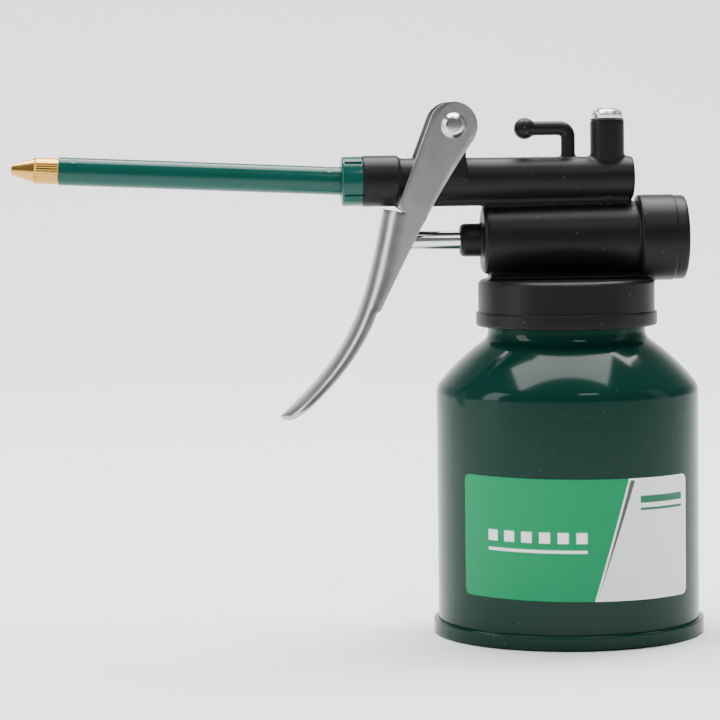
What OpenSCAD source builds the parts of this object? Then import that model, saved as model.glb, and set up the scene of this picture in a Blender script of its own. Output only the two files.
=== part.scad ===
// Handy oiler can: a steel can with a screw-on trigger pump head, a rigid
// spout and a brass nozzle. Millimetres. The origin is at the centre of the
// can's base on the resting plane, +Z up, and the spout points along -X.

/* [Can] */
// Outside diameter of the can's straight wall
can_d = 74.9; // [70:0.1:76]
// Thickness of the sheet steel
sheet_t = 0.6; // [0.4:0.05:0.8]
// Outside diameter of the seamed foot ring
foot_d = 77.6; // [77:0.1:79]
// Height of the seamed foot ring
foot_h = 4.3; // [3.8:0.1:5]
// Height at which the shoulder begins
shoulder_z = 68.9; // [60:0.1:69.5]
// Height of the neck's rim
neck_top = 97.3; // [96.5:0.1:97.5]
// Outside diameter of the neck
neck_d = 45.1; // [44:0.1:45.4]

/* [Label] */
// Height of the label's lower edge
label_z = 13.8; // [8:0.1:30]
// Height of the label
label_h = 33.9; // [20:0.1:38]
// Half of the angle that the label wraps round the can
label_half_angle = 55.2; // [40:0.1:80]
// Angle by which the label is stuck on to the spout's side of the front
label_turn = 1.8; // [0:0.1:10]
// Tilt of the label, its right end down
label_tilt = 0.8; // [0:0.1:3]
// Corner radius of the label
label_corner = 1.9; // [1:0.1:4]

/* [Cap] */
// Outside diameter of the screw cap
cap_d = 50.3; // [49.8:0.1:51]
// Outside diameter of the ring at the cap's lower edge
cap_ring_d = 51.7; // [51.5:0.1:53]
// Height of the ring at the cap's lower edge
cap_ring_h = 3.9; // [3:0.1:5]
// Height of the cap's lower edge
cap_bottom = 88; // [87.6:0.1:89]
// Height of the cap's flat top
cap_top = 101.3; // [101:0.1:102]

/* [Pump] */
// Height of the pump's axis
pump_z = 112.6; // [112.2:0.1:113]
// Diameter of the pump cylinder at its front
pump_front_d = 19.4; // [19:0.1:20]
// Diameter of the pump cylinder at its rear
pump_rear_d = 20.6; // [20:0.1:21]
// Diameter of the collar that takes the rear plug
rear_collar_d = 24.5; // [24:0.1:25.5]
// Bore of the pump cylinder
pump_bore_d = 15; // [14:0.1:15.4]
// Diameter of the plunger rod
rod_d = 5.5; // [5:0.1:6]
// Diameter of the nose that guides the rod
nose_d = 9.5; // [9:0.1:11]

/* [Delivery tube] */
// Height of the delivery tube's axis
barrel_z = 129.75; // [129.5:0.05:130]
// Diameter of the delivery tube behind its front collar
barrel_front_d = 12.8; // [12.6:0.1:13.3]
// Diameter of the delivery tube at its rear end
barrel_rear_d = 12.3; // [11.8:0.1:13]
// Diameter of the front collar
front_collar_d = 14.5; // [14:0.1:14.8]
// Length of the front collar
front_collar_len = 10.3; // [8:0.1:10.5]

/* [Trigger] */
// Thickness of the pressed steel
plate_t = 1.2; // [1:0.1:1.3]
// Outside width of the trigger channel
trigger_w = 16.6; // [16.4:0.1:18]
// Radius of the eyes round the rivet
eye_r = 6.8; // [6:0.1:7.2]
// Diameter of the rivet's shank
rivet_d = 4; // [3.5:0.1:4.4]

/* [Spout] */
// Upward tilt of the spout from the delivery tube's axis
spout_tilt = 2.8; // [0:0.1:3.2]
// Outside diameter of the spout
spout_d = 8; // [7.6:0.1:8.2]
// Bore of the spout
spout_bore_d = 4.8; // [4:0.1:5.2]
// Length of the spout from its flange to the nozzle
spout_len = 82.4; // [60:0.1:120]
// Outside diameter of the spout nut
nut_d = 14.1; // [13.8:0.1:15]
// Diameter of the brass nozzle's knurled part
knurl_d = 8; // [7.6:0.1:8.4]
// Diameter of the nozzle's outlet hole
orifice_d = 1.5; // [1:0.1:2]

/* [Hidden] */
$fn = 96;

can_green = [0.10, 0.24, 0.21];
spout_green = [0.09, 0.38, 0.33];
black = [0.13, 0.13, 0.14];
zinc = [0.66, 0.68, 0.68];
chrome = [0.80, 0.81, 0.82];
brass = [0.80, 0.62, 0.30];
rubber = [0.18, 0.17, 0.16];

// Overshoot of a cutting tool past the face that it opens
cut = 1;
// Running clearance on a radius
run = 0.05;

// Can
can_r = can_d / 2;
foot_r = foot_d / 2;
neck_r = neck_d / 2;
neck_lip_r = neck_r + 0.6;
panel_z = 3.6;
shoulder_lower_r = 5;
shoulder_upper_r = 3.6;
shoulder_a0 = 39;
shoulder_a1 = 55;
neck_fillet_z = 86.5;
arc_steps = 12;

// Cap
roof_t = 2.5;
roof_z = cap_top - roof_t;
cap_bore_r = neck_lip_r + 0.35;
cap_chamfer = 0.5;

// Pump, along X
pump_front_x = -24.05;
nose_x = -30.45;
bore_x = -21.5;
seal_pocket_x = -24.3;
seal_pocket_r = 4.6;
collar_x = 20.3;
counterbore_x = 25.5;
counterbore_r = 9.2;
plug_x = 30.85;
plug_end_x = 34.1;
plug_r = 12;
saddle_w = 9;
saddle_x0 = -22;
saddle_x1 = 24;

// Piston and rod at rest
rod_tip_x = -52.35;
rod_dome = 1.1;
piston_x = -20.4;
piston_len = 6;
piston_r = pump_bore_d / 2 - run;
rod_shoulder_x = -19.4;
rod_thread_d = 4;
piston_nut_af = 7;
piston_nut_len = 3.2;

// Delivery tube, along X
barrel_front_x = -58.05;
barrel_rear_x = 19.3;
barrel_bore_r = 2.5;
nose_thread_r = 5.5;
nose_thread_x = -60.6;
web_w = 6;
rib_x0 = -43;
rib_drop = 7.4;

// Outlet valve, along Z
outlet_x = 12.05;
boss_r = 4.87;
boss_foot_r = 3.5;
boss_top = 146.2;
outlet_seat_z = 126;
valve_hole_r = 1.25;
valve_bore_r = 2.5;
ball_r = 2;
ball_sit = sqrt(ball_r * ball_r - valve_hole_r * valve_hole_r);
washer_t = 0.4;
screw_shank_r = 2.45;
screw_end_z = 139.5;
screw_head_r = 4.5;
screw_head_h = 3;

// Inlet valve, along Z
inlet_x = 6;
nipple_r = 5.2;
nipple_z = 91;
inlet_seat_r = 3.6;
inlet_seat_z = 96.9;
inlet_chamber_r = 2.6;
inlet_chamber_z = 102.6;
stem_r = 2;
stem_z = 83;
tube_r = 3;
tube_end_z = 6;

// Hook
hook_x = 0.8;
hook_z = 144.05;
hook_r = 2.05;
hook_bend = 2.3;
hook_ball_x = -11.6;
hook_ball_r = 3.1;

// Trigger
pivot = [-32.55, 145.15];
lug_w = 13.8;
lug_r = 4.4;
lug_half = 3.6;
rivet_head_r = 3.65;
rivet_head_h = 1.9;
// Bezier handles of the channel's outer curve, in X and Z
web_curve = [[-52.17, 121.8], [-57.74, 94.13], [-60.76, 82.14], [-82.24, 63.24]];
// Bezier handles of the side plates' inner edge, in X and Z
inner_curve = [[-26.9, 141.2], [-36.9, 127.5], [-46.5, 108.5], [-54.1, 92.5]];
cut_back = [-48.49, 122.4];
notch_t = 0.47;
trough_deep = 4.6;
trough_shallow = 3.2;
trigger_steps = 24;
tip_round_back = 8.3;

// Spout
spout_origin = [-61.4, 0, barrel_z];
flange_r = 5.5;
flange_t = 1.3;
nut_x0 = -64.1;
nut_x1 = -58.1;
nut_wall = 1.35;
nut_rib_w = 1.1;
nut_rib_h = 0.5;
nut_rib_end = 0.3;
nut_rib_angle = 8;
knurl_len = 6.8;
cone_len = 6.5;
nozzle_face_d = 3;
nozzle_stem_len = 7;
flutes = 34;
flute_r = 0.28;

// Points of an arc about c with radius r from angle a0 to a1
function arc(c, r, a0, a1, n) =
    [for (i = [0:n]) let (a = a0 + (a1 - a0) * i / n) c + r * [cos(a), sin(a)]];

// Point of a cubic Bezier curve with handles p at parameter t
function bezier(p, t) =
    pow(1 - t, 3) * p[0] + 3 * pow(1 - t, 2) * t * p[1]
    + 3 * (1 - t) * t * t * p[2] + pow(t, 3) * p[3];

// Unit tangent of the same curve
function bezier_tangent(p, t) =
    let (d = pow(1 - t, 2) * (p[1] - p[0]) + 2 * (1 - t) * t * (p[2] - p[1])
        + t * t * (p[3] - p[2])) d / norm(d);

// Unit normal of the same curve, towards the can
function bezier_normal(p, t) =
    let (d = bezier_tangent(p, t)) [-d[1], d[0]];

// Shape along X: a cylinder or cone frustum about the axis at height z
module along_x(x0, x1, r0, r1, z) {
    translate([x0, 0, z])
        rotate([0, 90, 0])
            cylinder(h = x1 - x0, r1 = r0, r2 = r1);
}

// Ring along X
module ring_x(x0, x1, outer_r, inner_r, z) {
    difference() {
        along_x(x0, x1, outer_r, outer_r, z);
        along_x(x0 - cut, x1 + cut, inner_r, inner_r, z);
    }
}

// Body of revolution along X: pairs of distance along X and radius
module turned_x(z, outline) {
    translate([0, 0, z])
        rotate([0, 90, 0])
            rotate_extrude()
                polygon([for (p = outline) [p[1], p[0]]]);
}

// Vertical cylinder at x
module post(x, z0, z1, r) {
    translate([x, 0, z0])
        cylinder(h = z1 - z0, r = r);
}

// Side view shape in X and Z, given width along Y and centred on it
module side_plate(width, y = 0) {
    translate([0, y + width / 2, 0])
        rotate([90, 0, 0])
            linear_extrude(width)
                children();
}

// Coil spring standing on z = 0, as a swept wire
module coil(mean_r, wire_r, height, turns) {
    sides = 8;
    rings = turns * 16;
    rise = height - 2 * wire_r;
    points = [
        for (i = [0:rings]) let (a = 360 * turns * i / rings, z = wire_r + rise * i / rings)
            for (j = [0:sides - 1]) let (b = 360 * j / sides, r = mean_r + wire_r * cos(b))
                [r * cos(a), r * sin(a), z + wire_r * sin(b)]
    ];
    skin = [
        for (i = [0:rings - 1]) for (j = [0:sides - 1]) let (k = (j + 1) % sides)
            [i * sides + j, i * sides + k, (i + 1) * sides + k, (i + 1) * sides + j]
    ];
    first = [[for (j = [sides - 1:-1:0]) j]];
    last = [[for (j = [0:sides - 1]) rings * sides + j]];
    polyhedron(points, concat(skin, first, last), convexity = 6);
}

// Outer profile of the can's upper half, from the shoulder up to the rim,
// for a surface that lies inset by t inside the sheet's outer face
function can_profile(t) =
    let (
        c0 = [can_r - shoulder_lower_r, shoulder_z],
        p0 = c0 + shoulder_lower_r * [cos(shoulder_a0), sin(shoulder_a0)],
        c2 = [neck_r + shoulder_upper_r, neck_fillet_z],
        p1 = c2 - shoulder_upper_r * [cos(shoulder_a1), sin(shoulder_a1)],
        chord = norm(p1 - p0),
        mid_a = (shoulder_a0 + shoulder_a1) / 2,
        big_r = chord / 2 / sin((shoulder_a1 - shoulder_a0) / 2),
        along = (p1 - p0) / chord,
        inward = [-along[1], along[0]],
        c1 = (p0 + p1) / 2 + inward * big_r * cos((shoulder_a1 - shoulder_a0) / 2),
        b0 = atan2(p0[1] - c1[1], p0[0] - c1[0]),
        b1 = atan2(p1[1] - c1[1], p1[0] - c1[0])
    )
    concat(
        arc(c0, shoulder_lower_r - t, 0, shoulder_a0, arc_steps),
        arc(c1, big_r - t, b0, b1, arc_steps),
        arc(c2, shoulder_upper_r + t, 180 + shoulder_a1, 180, arc_steps)
    );

function reversed(list) = [for (i = [len(list) - 1:-1:0]) list[i]];

// Can's drawn body with shoulder, neck, rolled rim and the flange at its foot
module can_shell() {
    hook_out_r = foot_r - sheet_t - 0.1;
    hook_top = foot_h - 0.8;
    foot_z = sheet_t + 0.1;
    lip_r = 0.9;
    color(can_green)
        union() {
            rotate_extrude()
                polygon(concat(
                    [[can_r - sheet_t, foot_z], [hook_out_r, foot_z]],
                    [[hook_out_r, hook_top], [can_r, hook_top]],
                    can_profile(0),
                    [[neck_r, neck_top], [neck_r - sheet_t, neck_top]],
                    reversed(can_profile(sheet_t))
                ));
            rotate_extrude()
                translate([neck_lip_r - lip_r, neck_top - lip_r])
                    circle(r = lip_r);
        }
}

// Bottom panel, seamed over the body's flange: its hem is the foot ring
module can_base() {
    inner_r = can_r - 2 * sheet_t - 0.05;
    round_r = 0.8;
    color(can_green)
        rotate_extrude()
            polygon(concat(
                [[0, panel_z], [inner_r, panel_z], [inner_r, 0]],
                arc([foot_r - round_r, round_r], round_r, -90, 0, arc_steps),
                arc([foot_r - 0.5, foot_h - 0.5], 0.5, 0, 90, arc_steps),
                [[can_r + 0.05, foot_h], [can_r + 0.05, foot_h - 0.6],
                 [foot_r - sheet_t, foot_h - 0.6], [foot_r - sheet_t, sheet_t],
                 [inner_r + sheet_t, sheet_t], [inner_r + sheet_t, panel_z + sheet_t],
                 [0, panel_z + sheet_t]]
            ));
}

// Rounded rectangle, w by h, with its lower left corner at the origin
module rounded_rectangle(w, h, r) {
    hull()
        for (x = [r, w - r], y = [r, h - r])
            translate([x, y])
                circle(r = r, $fn = 32);
}

// Printed label round the can's front
module front_label() {
    label_t = 0.12;
    gap = 0.01;
    half_w = can_r * sin(label_half_angle);
    color([0.17, 0.62, 0.45])
        translate([0, 0, label_z + label_h / 2])
            rotate([0, 0, -label_turn])
                intersection() {
                    difference() {
                        cylinder(h = label_h + 2 * cut, r = can_r + label_t, center = true);
                        cylinder(h = label_h + 4 * cut, r = can_r + gap, center = true);
                    }
                    rotate([90, 0, 0])
                        linear_extrude(can_r + cut)
                            rotate(-label_tilt)
                                translate([-half_w, -label_h / 2])
                                    rounded_rectangle(2 * half_w, label_h, label_corner);
                }
}

// Flat rubber ring under the cap's roof
module neck_gasket() {
    gasket_in_r = 19;
    color(rubber)
        difference() {
            post(0, neck_top + 0.02, roof_z - 0.02, neck_lip_r);
            post(0, neck_top - cut, roof_z + cut, gasket_in_r);
        }
}

// Moulded head: solid outside of the cap, pump, delivery tube, boss and hook
module head_outside() {
    bevel = 0.8;
    // Screw cap with its lower ring
    rotate_extrude()
        polygon([
            [0, cap_bottom], [cap_ring_d / 2 - cap_chamfer, cap_bottom],
            [cap_ring_d / 2, cap_bottom + cap_chamfer],
            [cap_ring_d / 2, cap_bottom + cap_ring_h - cap_chamfer / 2],
            [cap_ring_d / 2 - cap_chamfer / 2, cap_bottom + cap_ring_h],
            [cap_d / 2, cap_bottom + cap_ring_h], [cap_d / 2, cap_top - 2 * cap_chamfer],
            [cap_d / 2 - 2 * cap_chamfer, cap_top], [0, cap_top]
        ]);
    // Saddle between the cap and the pump
    translate([saddle_x0, -saddle_w / 2, cap_top - roof_t / 2])
        cube([saddle_x1 - saddle_x0, saddle_w, pump_z - cap_top]);
    // Pump cylinder with its nose and rear collar
    turned_x(pump_z, [
        [nose_x, 0], [nose_x, nose_d / 2 - bevel], [nose_x + bevel, nose_d / 2],
        [pump_front_x, nose_d / 2], [pump_front_x, pump_front_d / 2 - bevel],
        [pump_front_x + bevel, pump_front_d / 2], [collar_x, pump_rear_d / 2],
        [collar_x, rear_collar_d / 2 - bevel / 2], [collar_x + bevel / 2, rear_collar_d / 2],
        [plug_x, rear_collar_d / 2], [plug_x, 0]
    ]);
    // Delivery tube with its front collar and threaded end
    turned_x(barrel_z, [
        [nose_thread_x, 0], [nose_thread_x, nose_thread_r], [barrel_front_x, nose_thread_r],
        [barrel_front_x, front_collar_d / 2],
        [barrel_front_x + front_collar_len - bevel / 2, front_collar_d / 2],
        [barrel_front_x + front_collar_len, front_collar_d / 2 - bevel / 2],
        [barrel_front_x + front_collar_len, barrel_front_d / 2],
        [barrel_rear_x - bevel / 2, barrel_rear_d / 2], [barrel_rear_x, barrel_rear_d / 2 - bevel / 2],
        [barrel_rear_x, 0]
    ]);
    // Web that joins the delivery tube to the pump
    translate([saddle_x0, -web_w / 2, pump_z])
        cube([barrel_rear_x - saddle_x0 - cut, web_w, barrel_z - pump_z]);
    // Rib under the delivery tube, in front of the pump
    translate([rib_x0, -web_w / 2, barrel_z - rib_drop])
        cube([saddle_x0 - rib_x0 + cut, web_w, rib_drop]);
    // Boss of the outlet valve, with a narrower foot below the delivery tube
    post(outlet_x, barrel_z, boss_top, boss_r);
    post(outlet_x, pump_z, barrel_z, boss_foot_r);
    // Lug for the trigger's rivet
    side_plate(lug_w) {
        translate(pivot)
            circle(r = lug_r);
        translate([pivot[0] - lug_half, barrel_z])
            square([2 * lug_half, pivot[1] - barrel_z]);
    }
    // Nipple for the inlet valve and the dip tube
    post(inlet_x, nipple_z, cap_top, nipple_r);
}

// Hook that hangs the oiler on a rail, with a ball at its end
module hook() {
    post(hook_x, barrel_z, hook_z - hook_bend, hook_r);
    translate([hook_x - hook_bend, 0, hook_z - hook_bend])
        rotate([90, 0, 0])
            rotate_extrude(angle = 90)
                translate([hook_bend, 0])
                    circle(r = hook_r);
    along_x(hook_ball_x, hook_x - hook_bend, hook_r, hook_r, hook_z);
    translate([hook_ball_x, 0, hook_z])
        sphere(r = hook_ball_r);
}

// Bores and seats of the moulded head
module head_bores() {
    vent_r = 0.6;
    vent_at = [-10, 15];
    post(0, cap_bottom - cut, roof_z, cap_bore_r);
    along_x(nose_x - cut, bore_x, rod_d / 2 + run, rod_d / 2 + run, pump_z);
    along_x(seal_pocket_x, bore_x + cut, seal_pocket_r, seal_pocket_r, pump_z);
    along_x(bore_x, plug_x + cut, pump_bore_d / 2, pump_bore_d / 2, pump_z);
    along_x(counterbore_x, plug_x + cut, counterbore_r, counterbore_r, pump_z);
    along_x(nose_thread_x - cut, outlet_x, barrel_bore_r, barrel_bore_r, barrel_z);
    post(outlet_x, pump_z, outlet_seat_z + cut, valve_hole_r);
    post(outlet_x, outlet_seat_z, boss_top + cut, valve_bore_r);
    post(inlet_x, inlet_seat_z - cut, inlet_chamber_z, inlet_chamber_r);
    post(inlet_x, inlet_chamber_z - cut, pump_z, valve_hole_r);
    translate([pivot[0], lug_w / 2 + cut, pivot[1]])
        rotate([90, 0, 0])
            cylinder(h = lug_w + 2 * cut, r = rivet_d / 2 + run);
    translate([vent_at[0], vent_at[1], roof_z - cut])
        cylinder(h = roof_t + 2 * cut, r = vent_r);
}

// Whole moulded head
module pump_head() {
    color(black)
        difference() {
            union() {
                difference() {
                    union() {
                        head_outside();
                        hook();
                    }
                    head_bores();
                }
                difference() {
                    post(inlet_x, nipple_z, roof_z + cut, nipple_r);
                    post(inlet_x, inlet_seat_z - cut, roof_z + 2 * cut, inlet_chamber_r);
                }
            }
            post(inlet_x, nipple_z - cut, inlet_seat_z, inlet_seat_r);
        }
}

// Rod seal in the pocket behind the nose
module rod_seal() {
    color(rubber)
        ring_x(seal_pocket_x + 0.05, bore_x - 0.05, seal_pocket_r - 0.03, rod_d / 2 + 0.01, pump_z);
}

// Steel washer that keeps the rod seal in its pocket
module seal_washer() {
    washer_x1 = bore_x + 0.8;
    color(zinc)
        ring_x(bore_x + 0.02, washer_x1, pump_bore_d / 2 - 0.02, rod_d / 2 + 0.15, pump_z);
}

// Rod with a domed front end, and a thread at the rear for the piston
module plunger_rod() {
    rod_end_x = piston_x + piston_len + piston_nut_len + 0.8;
    rod_r = rod_d / 2;
    dome_r = (rod_r * rod_r + rod_dome * rod_dome) / (2 * rod_dome);
    dome_a = asin(rod_r / dome_r);
    color(chrome)
        turned_x(pump_z, concat(
            reversed([for (p = arc([0, 0], dome_r, 0, dome_a, arc_steps))
                [rod_tip_x + dome_r - p[0], p[1]]]),
            [[rod_end_x, 0], [rod_end_x, rod_thread_d / 2 - 0.3], [rod_end_x - 0.3, rod_thread_d / 2],
             [rod_shoulder_x, rod_thread_d / 2], [rod_shoulder_x, rod_r]]
        ));
}

// Piston with a groove for its seal and a recess for the rod's shoulder
module piston() {
    groove_x0 = piston_x + 2;
    groove_x1 = groove_x0 + 2;
    groove_r = piston_r - 1.4;
    color(black)
        difference() {
            turned_x(pump_z, [
                [piston_x, 0], [piston_x, piston_r - 0.4], [piston_x + 0.4, piston_r],
                [groove_x0, piston_r], [groove_x0, groove_r], [groove_x1, groove_r],
                [groove_x1, piston_r], [piston_x + piston_len, piston_r], [piston_x + piston_len, 0]
            ]);
            along_x(piston_x - cut, rod_shoulder_x, rod_d / 2 + 0.02, rod_d / 2 + 0.02, pump_z);
            along_x(piston_x, piston_x + piston_len + cut, rod_thread_d / 2 + 0.02,
                rod_thread_d / 2 + 0.02, pump_z);
        }
}

// Rubber ring in the piston's groove
module piston_seal() {
    color(rubber)
        ring_x(piston_x + 2.1, piston_x + 3.9, pump_bore_d / 2 - 0.01, piston_r - 1.38, pump_z);
}

// Hexagon nut that holds the piston on the rod
module piston_nut() {
    nut_x = piston_x + piston_len + 0.02;
    color(zinc)
        difference() {
            translate([nut_x, 0, pump_z])
                rotate([0, 90, 0])
                    cylinder(h = piston_nut_len, d = piston_nut_af / cos(30), $fn = 6);
            along_x(nut_x - cut, nut_x + piston_nut_len + cut, rod_thread_d / 2 + 0.02,
                rod_thread_d / 2 + 0.02, pump_z);
        }
}

// Return spring between the piston and the rear plug
module return_spring() {
    wire_r = 0.6;
    mean_r = 5.9;
    gap = 0.05;
    spring_x0 = piston_x + piston_len + gap;
    color(zinc)
        translate([spring_x0, 0, pump_z])
            rotate([0, 90, 0])
                coil(mean_r, wire_r, counterbore_x + 1.4 - gap - spring_x0, 9);
}

// Threaded plug that closes the pump's rear end, with a raised rim
module rear_plug() {
    spigot_x = counterbore_x + 1.4;
    edge = 1.2;
    color(black)
        turned_x(pump_z, concat(
            [[spigot_x, 0], [spigot_x, counterbore_r - run], [plug_x + 0.03, counterbore_r - run],
             [plug_x + 0.03, plug_r]],
            reversed([for (p = arc([plug_end_x - edge, plug_r - edge], edge, 0, 90, arc_steps)) p]),
            [[plug_end_x, plug_r - 2.6], [plug_end_x - 0.5, plug_r - 3.1], [plug_end_x - 0.5, 0]]
        ));
}

// Rubber ring under the rear plug
module rear_plug_seal() {
    color(rubber)
        ring_x(
            counterbore_x + 0.02, counterbore_x + 1.38, counterbore_r - 0.1,
            pump_bore_d / 2 + 0.1, pump_z
        );
}

// Brass seat of the inlet valve, with a stem for the dip tube
module inlet_seat() {
    color(brass)
        difference() {
            union() {
                post(inlet_x, nipple_z, inlet_seat_z - 0.01, inlet_seat_r - 0.01);
                post(inlet_x, stem_z, nipple_z + cut, stem_r - 0.01);
            }
            post(inlet_x, stem_z - cut, inlet_seat_z + cut, valve_hole_r);
        }
}

// Steel ball of the inlet valve, on its seat
module inlet_ball() {
    color(chrome)
        translate([inlet_x, 0, inlet_seat_z + ball_sit + 0.02])
            sphere(r = ball_r);
}

// Tube that reaches from the inlet valve to the bottom of the can
module dip_tube() {
    color([0.85, 0.87, 0.84])
        difference() {
            post(inlet_x, tube_end_z, nipple_z - 0.1, tube_r);
            post(inlet_x, tube_end_z - cut, nipple_z + cut, stem_r);
            translate([inlet_x, -tube_r - cut, tube_end_z])
                rotate([0, 35, 0])
                    translate([-2 * tube_r, 0, -2 * tube_r])
                        cube([4 * tube_r, 2 * tube_r + 2 * cut, 2 * tube_r]);
        }
}

// Steel ball of the outlet valve, on its seat
module outlet_ball() {
    color(chrome)
        translate([outlet_x, 0, outlet_seat_z + ball_sit + 0.02])
            sphere(r = ball_r);
}

// Spring that holds the outlet ball down
module outlet_spring() {
    spring_z0 = outlet_seat_z + ball_sit + ball_r + 0.07;
    color(zinc)
        translate([outlet_x, 0, spring_z0])
            coil(1.7, 0.25, screw_end_z - 0.05 - spring_z0, 7);
}

// Pan-head screw that closes the outlet valve, with a cross recess and a slot
module outlet_screw() {
    head_z = boss_top + washer_t + 0.02;
    recess_w = 1.1;
    recess_h = 1.7;
    edge = 1.1;
    color(zinc)
        difference() {
            translate([outlet_x, 0, 0])
                rotate_extrude()
                    polygon(concat(
                        [[0, screw_end_z], [screw_shank_r - 0.4, screw_end_z],
                         [screw_shank_r, screw_end_z + 0.4], [screw_shank_r, head_z],
                         [screw_head_r, head_z]],
                        arc([screw_head_r - edge, head_z + screw_head_h - edge], edge, 0, 90, arc_steps),
                        [[0, head_z + screw_head_h]]
                    ));
            for (turn = [0, 90])
                translate([outlet_x, 0, head_z + screw_head_h])
                    rotate([0, 0, turn])
                        cube(
                            [2 * (turn == 0 ? screw_head_r + cut : 2.4), recess_w, 2 * recess_h],
                            center = true
                        );
        }
}

// Sealing washer under the screw's head
module outlet_washer() {
    color(rubber)
        difference() {
            post(outlet_x, boss_top + 0.01, boss_top + washer_t, boss_r - 0.1);
            post(outlet_x, boss_top - cut, boss_top + washer_t + cut, valve_bore_r + 0.1);
        }
}

// Depth of the channel's rim behind its outer curve, at parameter t
function trough(t) =
    trough_deep + (trough_shallow - trough_deep) * (t - notch_t) / (1 - notch_t);

// Side view of one side plate of the trigger
module plate_outline() {
    outer = [for (i = [0:trigger_steps]) bezier(web_curve, i / trigger_steps)];
    rim = [for (i = [0:trigger_steps / 2])
        let (t = 1 - (1 - notch_t) * i / (trigger_steps / 2))
            bezier(web_curve, t) + trough(t) * bezier_normal(web_curve, t)];
    inner = [for (i = [0:trigger_steps / 2])
        bezier(inner_curve, 1 - i / (trigger_steps / 2))];
    left = pivot + eye_r * [cos(156), sin(156)];
    translate(pivot)
        circle(r = eye_r);
    polygon(concat([pivot, left, cut_back], outer, rim, inner));
}

// Side view of the web that joins the plates
module web_outline() {
    outer = [for (i = [0:trigger_steps]) bezier(web_curve, i / trigger_steps)];
    inner = [for (i = [0:trigger_steps])
        let (t = 1 - i / trigger_steps)
            bezier(web_curve, t) + plate_t * bezier_normal(web_curve, t)];
    polygon(concat(outer, inner));
}

// Tool that rounds the trigger's lower end
module tip_cutter() {
    reach = 40;
    tip = bezier(web_curve, 1);
    along = bezier_tangent(web_curve, 1);
    angle = atan2(along[1], along[0]);
    centre = tip - tip_round_back * along;
    translate([centre[0], 0, centre[1]])
        rotate([0, -angle, 0])
            difference() {
                translate([0, -trigger_w, -reach / 2])
                    cube([2 * tip_round_back, 2 * trigger_w, reach]);
                translate([0, 0, -reach])
                    cylinder(h = 2 * reach, r = tip_round_back);
            }
}

// Trigger: one pressed channel with two eyes for the rivet
module trigger() {
    plate_y = (trigger_w - plate_t) / 2;
    color(zinc)
        difference() {
            union() {
                for (side = [-1, 1])
                    side_plate(plate_t, side * plate_y)
                        plate_outline();
                side_plate(trigger_w)
                    web_outline();
            }
            translate([pivot[0], trigger_w, pivot[1]])
                rotate([90, 0, 0])
                    cylinder(h = 2 * trigger_w, r = rivet_d / 2 + 2 * run);
            tip_cutter();
        }
}

// Rivet with a domed head on each side
module trigger_rivet() {
    face_y = trigger_w / 2 + 0.1;
    dome_r = (rivet_head_r * rivet_head_r + rivet_head_h * rivet_head_h) / (2 * rivet_head_h);
    dome_a = asin(rivet_head_r / dome_r);
    crown = arc([0, face_y + rivet_head_h - dome_r], dome_r, 90 - dome_a, 90, arc_steps);
    color(chrome)
        translate([pivot[0], 0, pivot[1]])
            rotate([90, 0, 0])
                rotate_extrude()
                    polygon(concat(
                        [[rivet_d / 2, 0], [rivet_d / 2, face_y]],
                        crown,
                        [for (p = reversed(crown)) [p[0], -p[1]]],
                        [[rivet_d / 2, -face_y]]
                    ));
}

// Nut that holds the spout on the delivery tube, with four gripping ribs
module spout_nut() {
    bevel = 0.8;
    rib_x0 = nut_x0 + bevel;
    color(spout_green)
        difference() {
            union() {
                turned_x(barrel_z, [
                    [nut_x0, 0], [nut_x0, nut_d / 2 - bevel], [nut_x0 + bevel / 2, nut_d / 2 - bevel / 4],
                    [nut_x0 + bevel, nut_d / 2], [nut_x1, nut_d / 2], [nut_x1, 0]
                ]);
                for (i = [0:3])
                    translate([rib_x0, 0, barrel_z])
                        rotate([nut_rib_angle + 45 + 90 * i, 0, 0])
                            translate([0, -nut_rib_w / 2, nut_d / 2 - nut_rib_h])
                                cube([nut_x1 - rib_x0 - nut_rib_end, nut_rib_w, 2 * nut_rib_h]);
            }
            along_x(nut_x0 + nut_wall, nut_x1 + cut, nose_thread_r + 0.08, nose_thread_r + 0.08, barrel_z);
            along_x(nut_x0 - cut, nut_x1, spout_d / 2 + 0.35, spout_d / 2 + 0.35, barrel_z);
        }
}

// Frame along the tilted spout, with +Z towards the nozzle
module spout_frame() {
    translate(spout_origin)
        rotate([0, spout_tilt - 90, 0])
            children();
}

// Spout: a flange that the nut holds, and a straight tube
module spout_tube() {
    color(spout_green)
        difference() {
            union() {
                along_x(spout_origin[0] - flange_t, spout_origin[0], flange_r, flange_r, barrel_z);
                intersection() {
                    spout_frame()
                        translate([0, 0, -cut])
                            cylinder(h = spout_len + cut, r = spout_d / 2);
                    translate([spout_origin[0] - 2 * spout_len, -spout_d, barrel_z - spout_d])
                        cube([2 * spout_len, 2 * spout_d, 4 * spout_d]);
                }
            }
            spout_frame()
                translate([0, 0, -cut])
                    cylinder(h = spout_len + 2 * cut, r = spout_bore_d / 2);
        }
}

// Flat seal between the spout's flange and the delivery tube
module spout_seal() {
    color(rubber)
        ring_x(spout_origin[0] + 0.02, nose_thread_x - 0.02, flange_r - 0.1, barrel_bore_r + 0.1, barrel_z);
}

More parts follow.
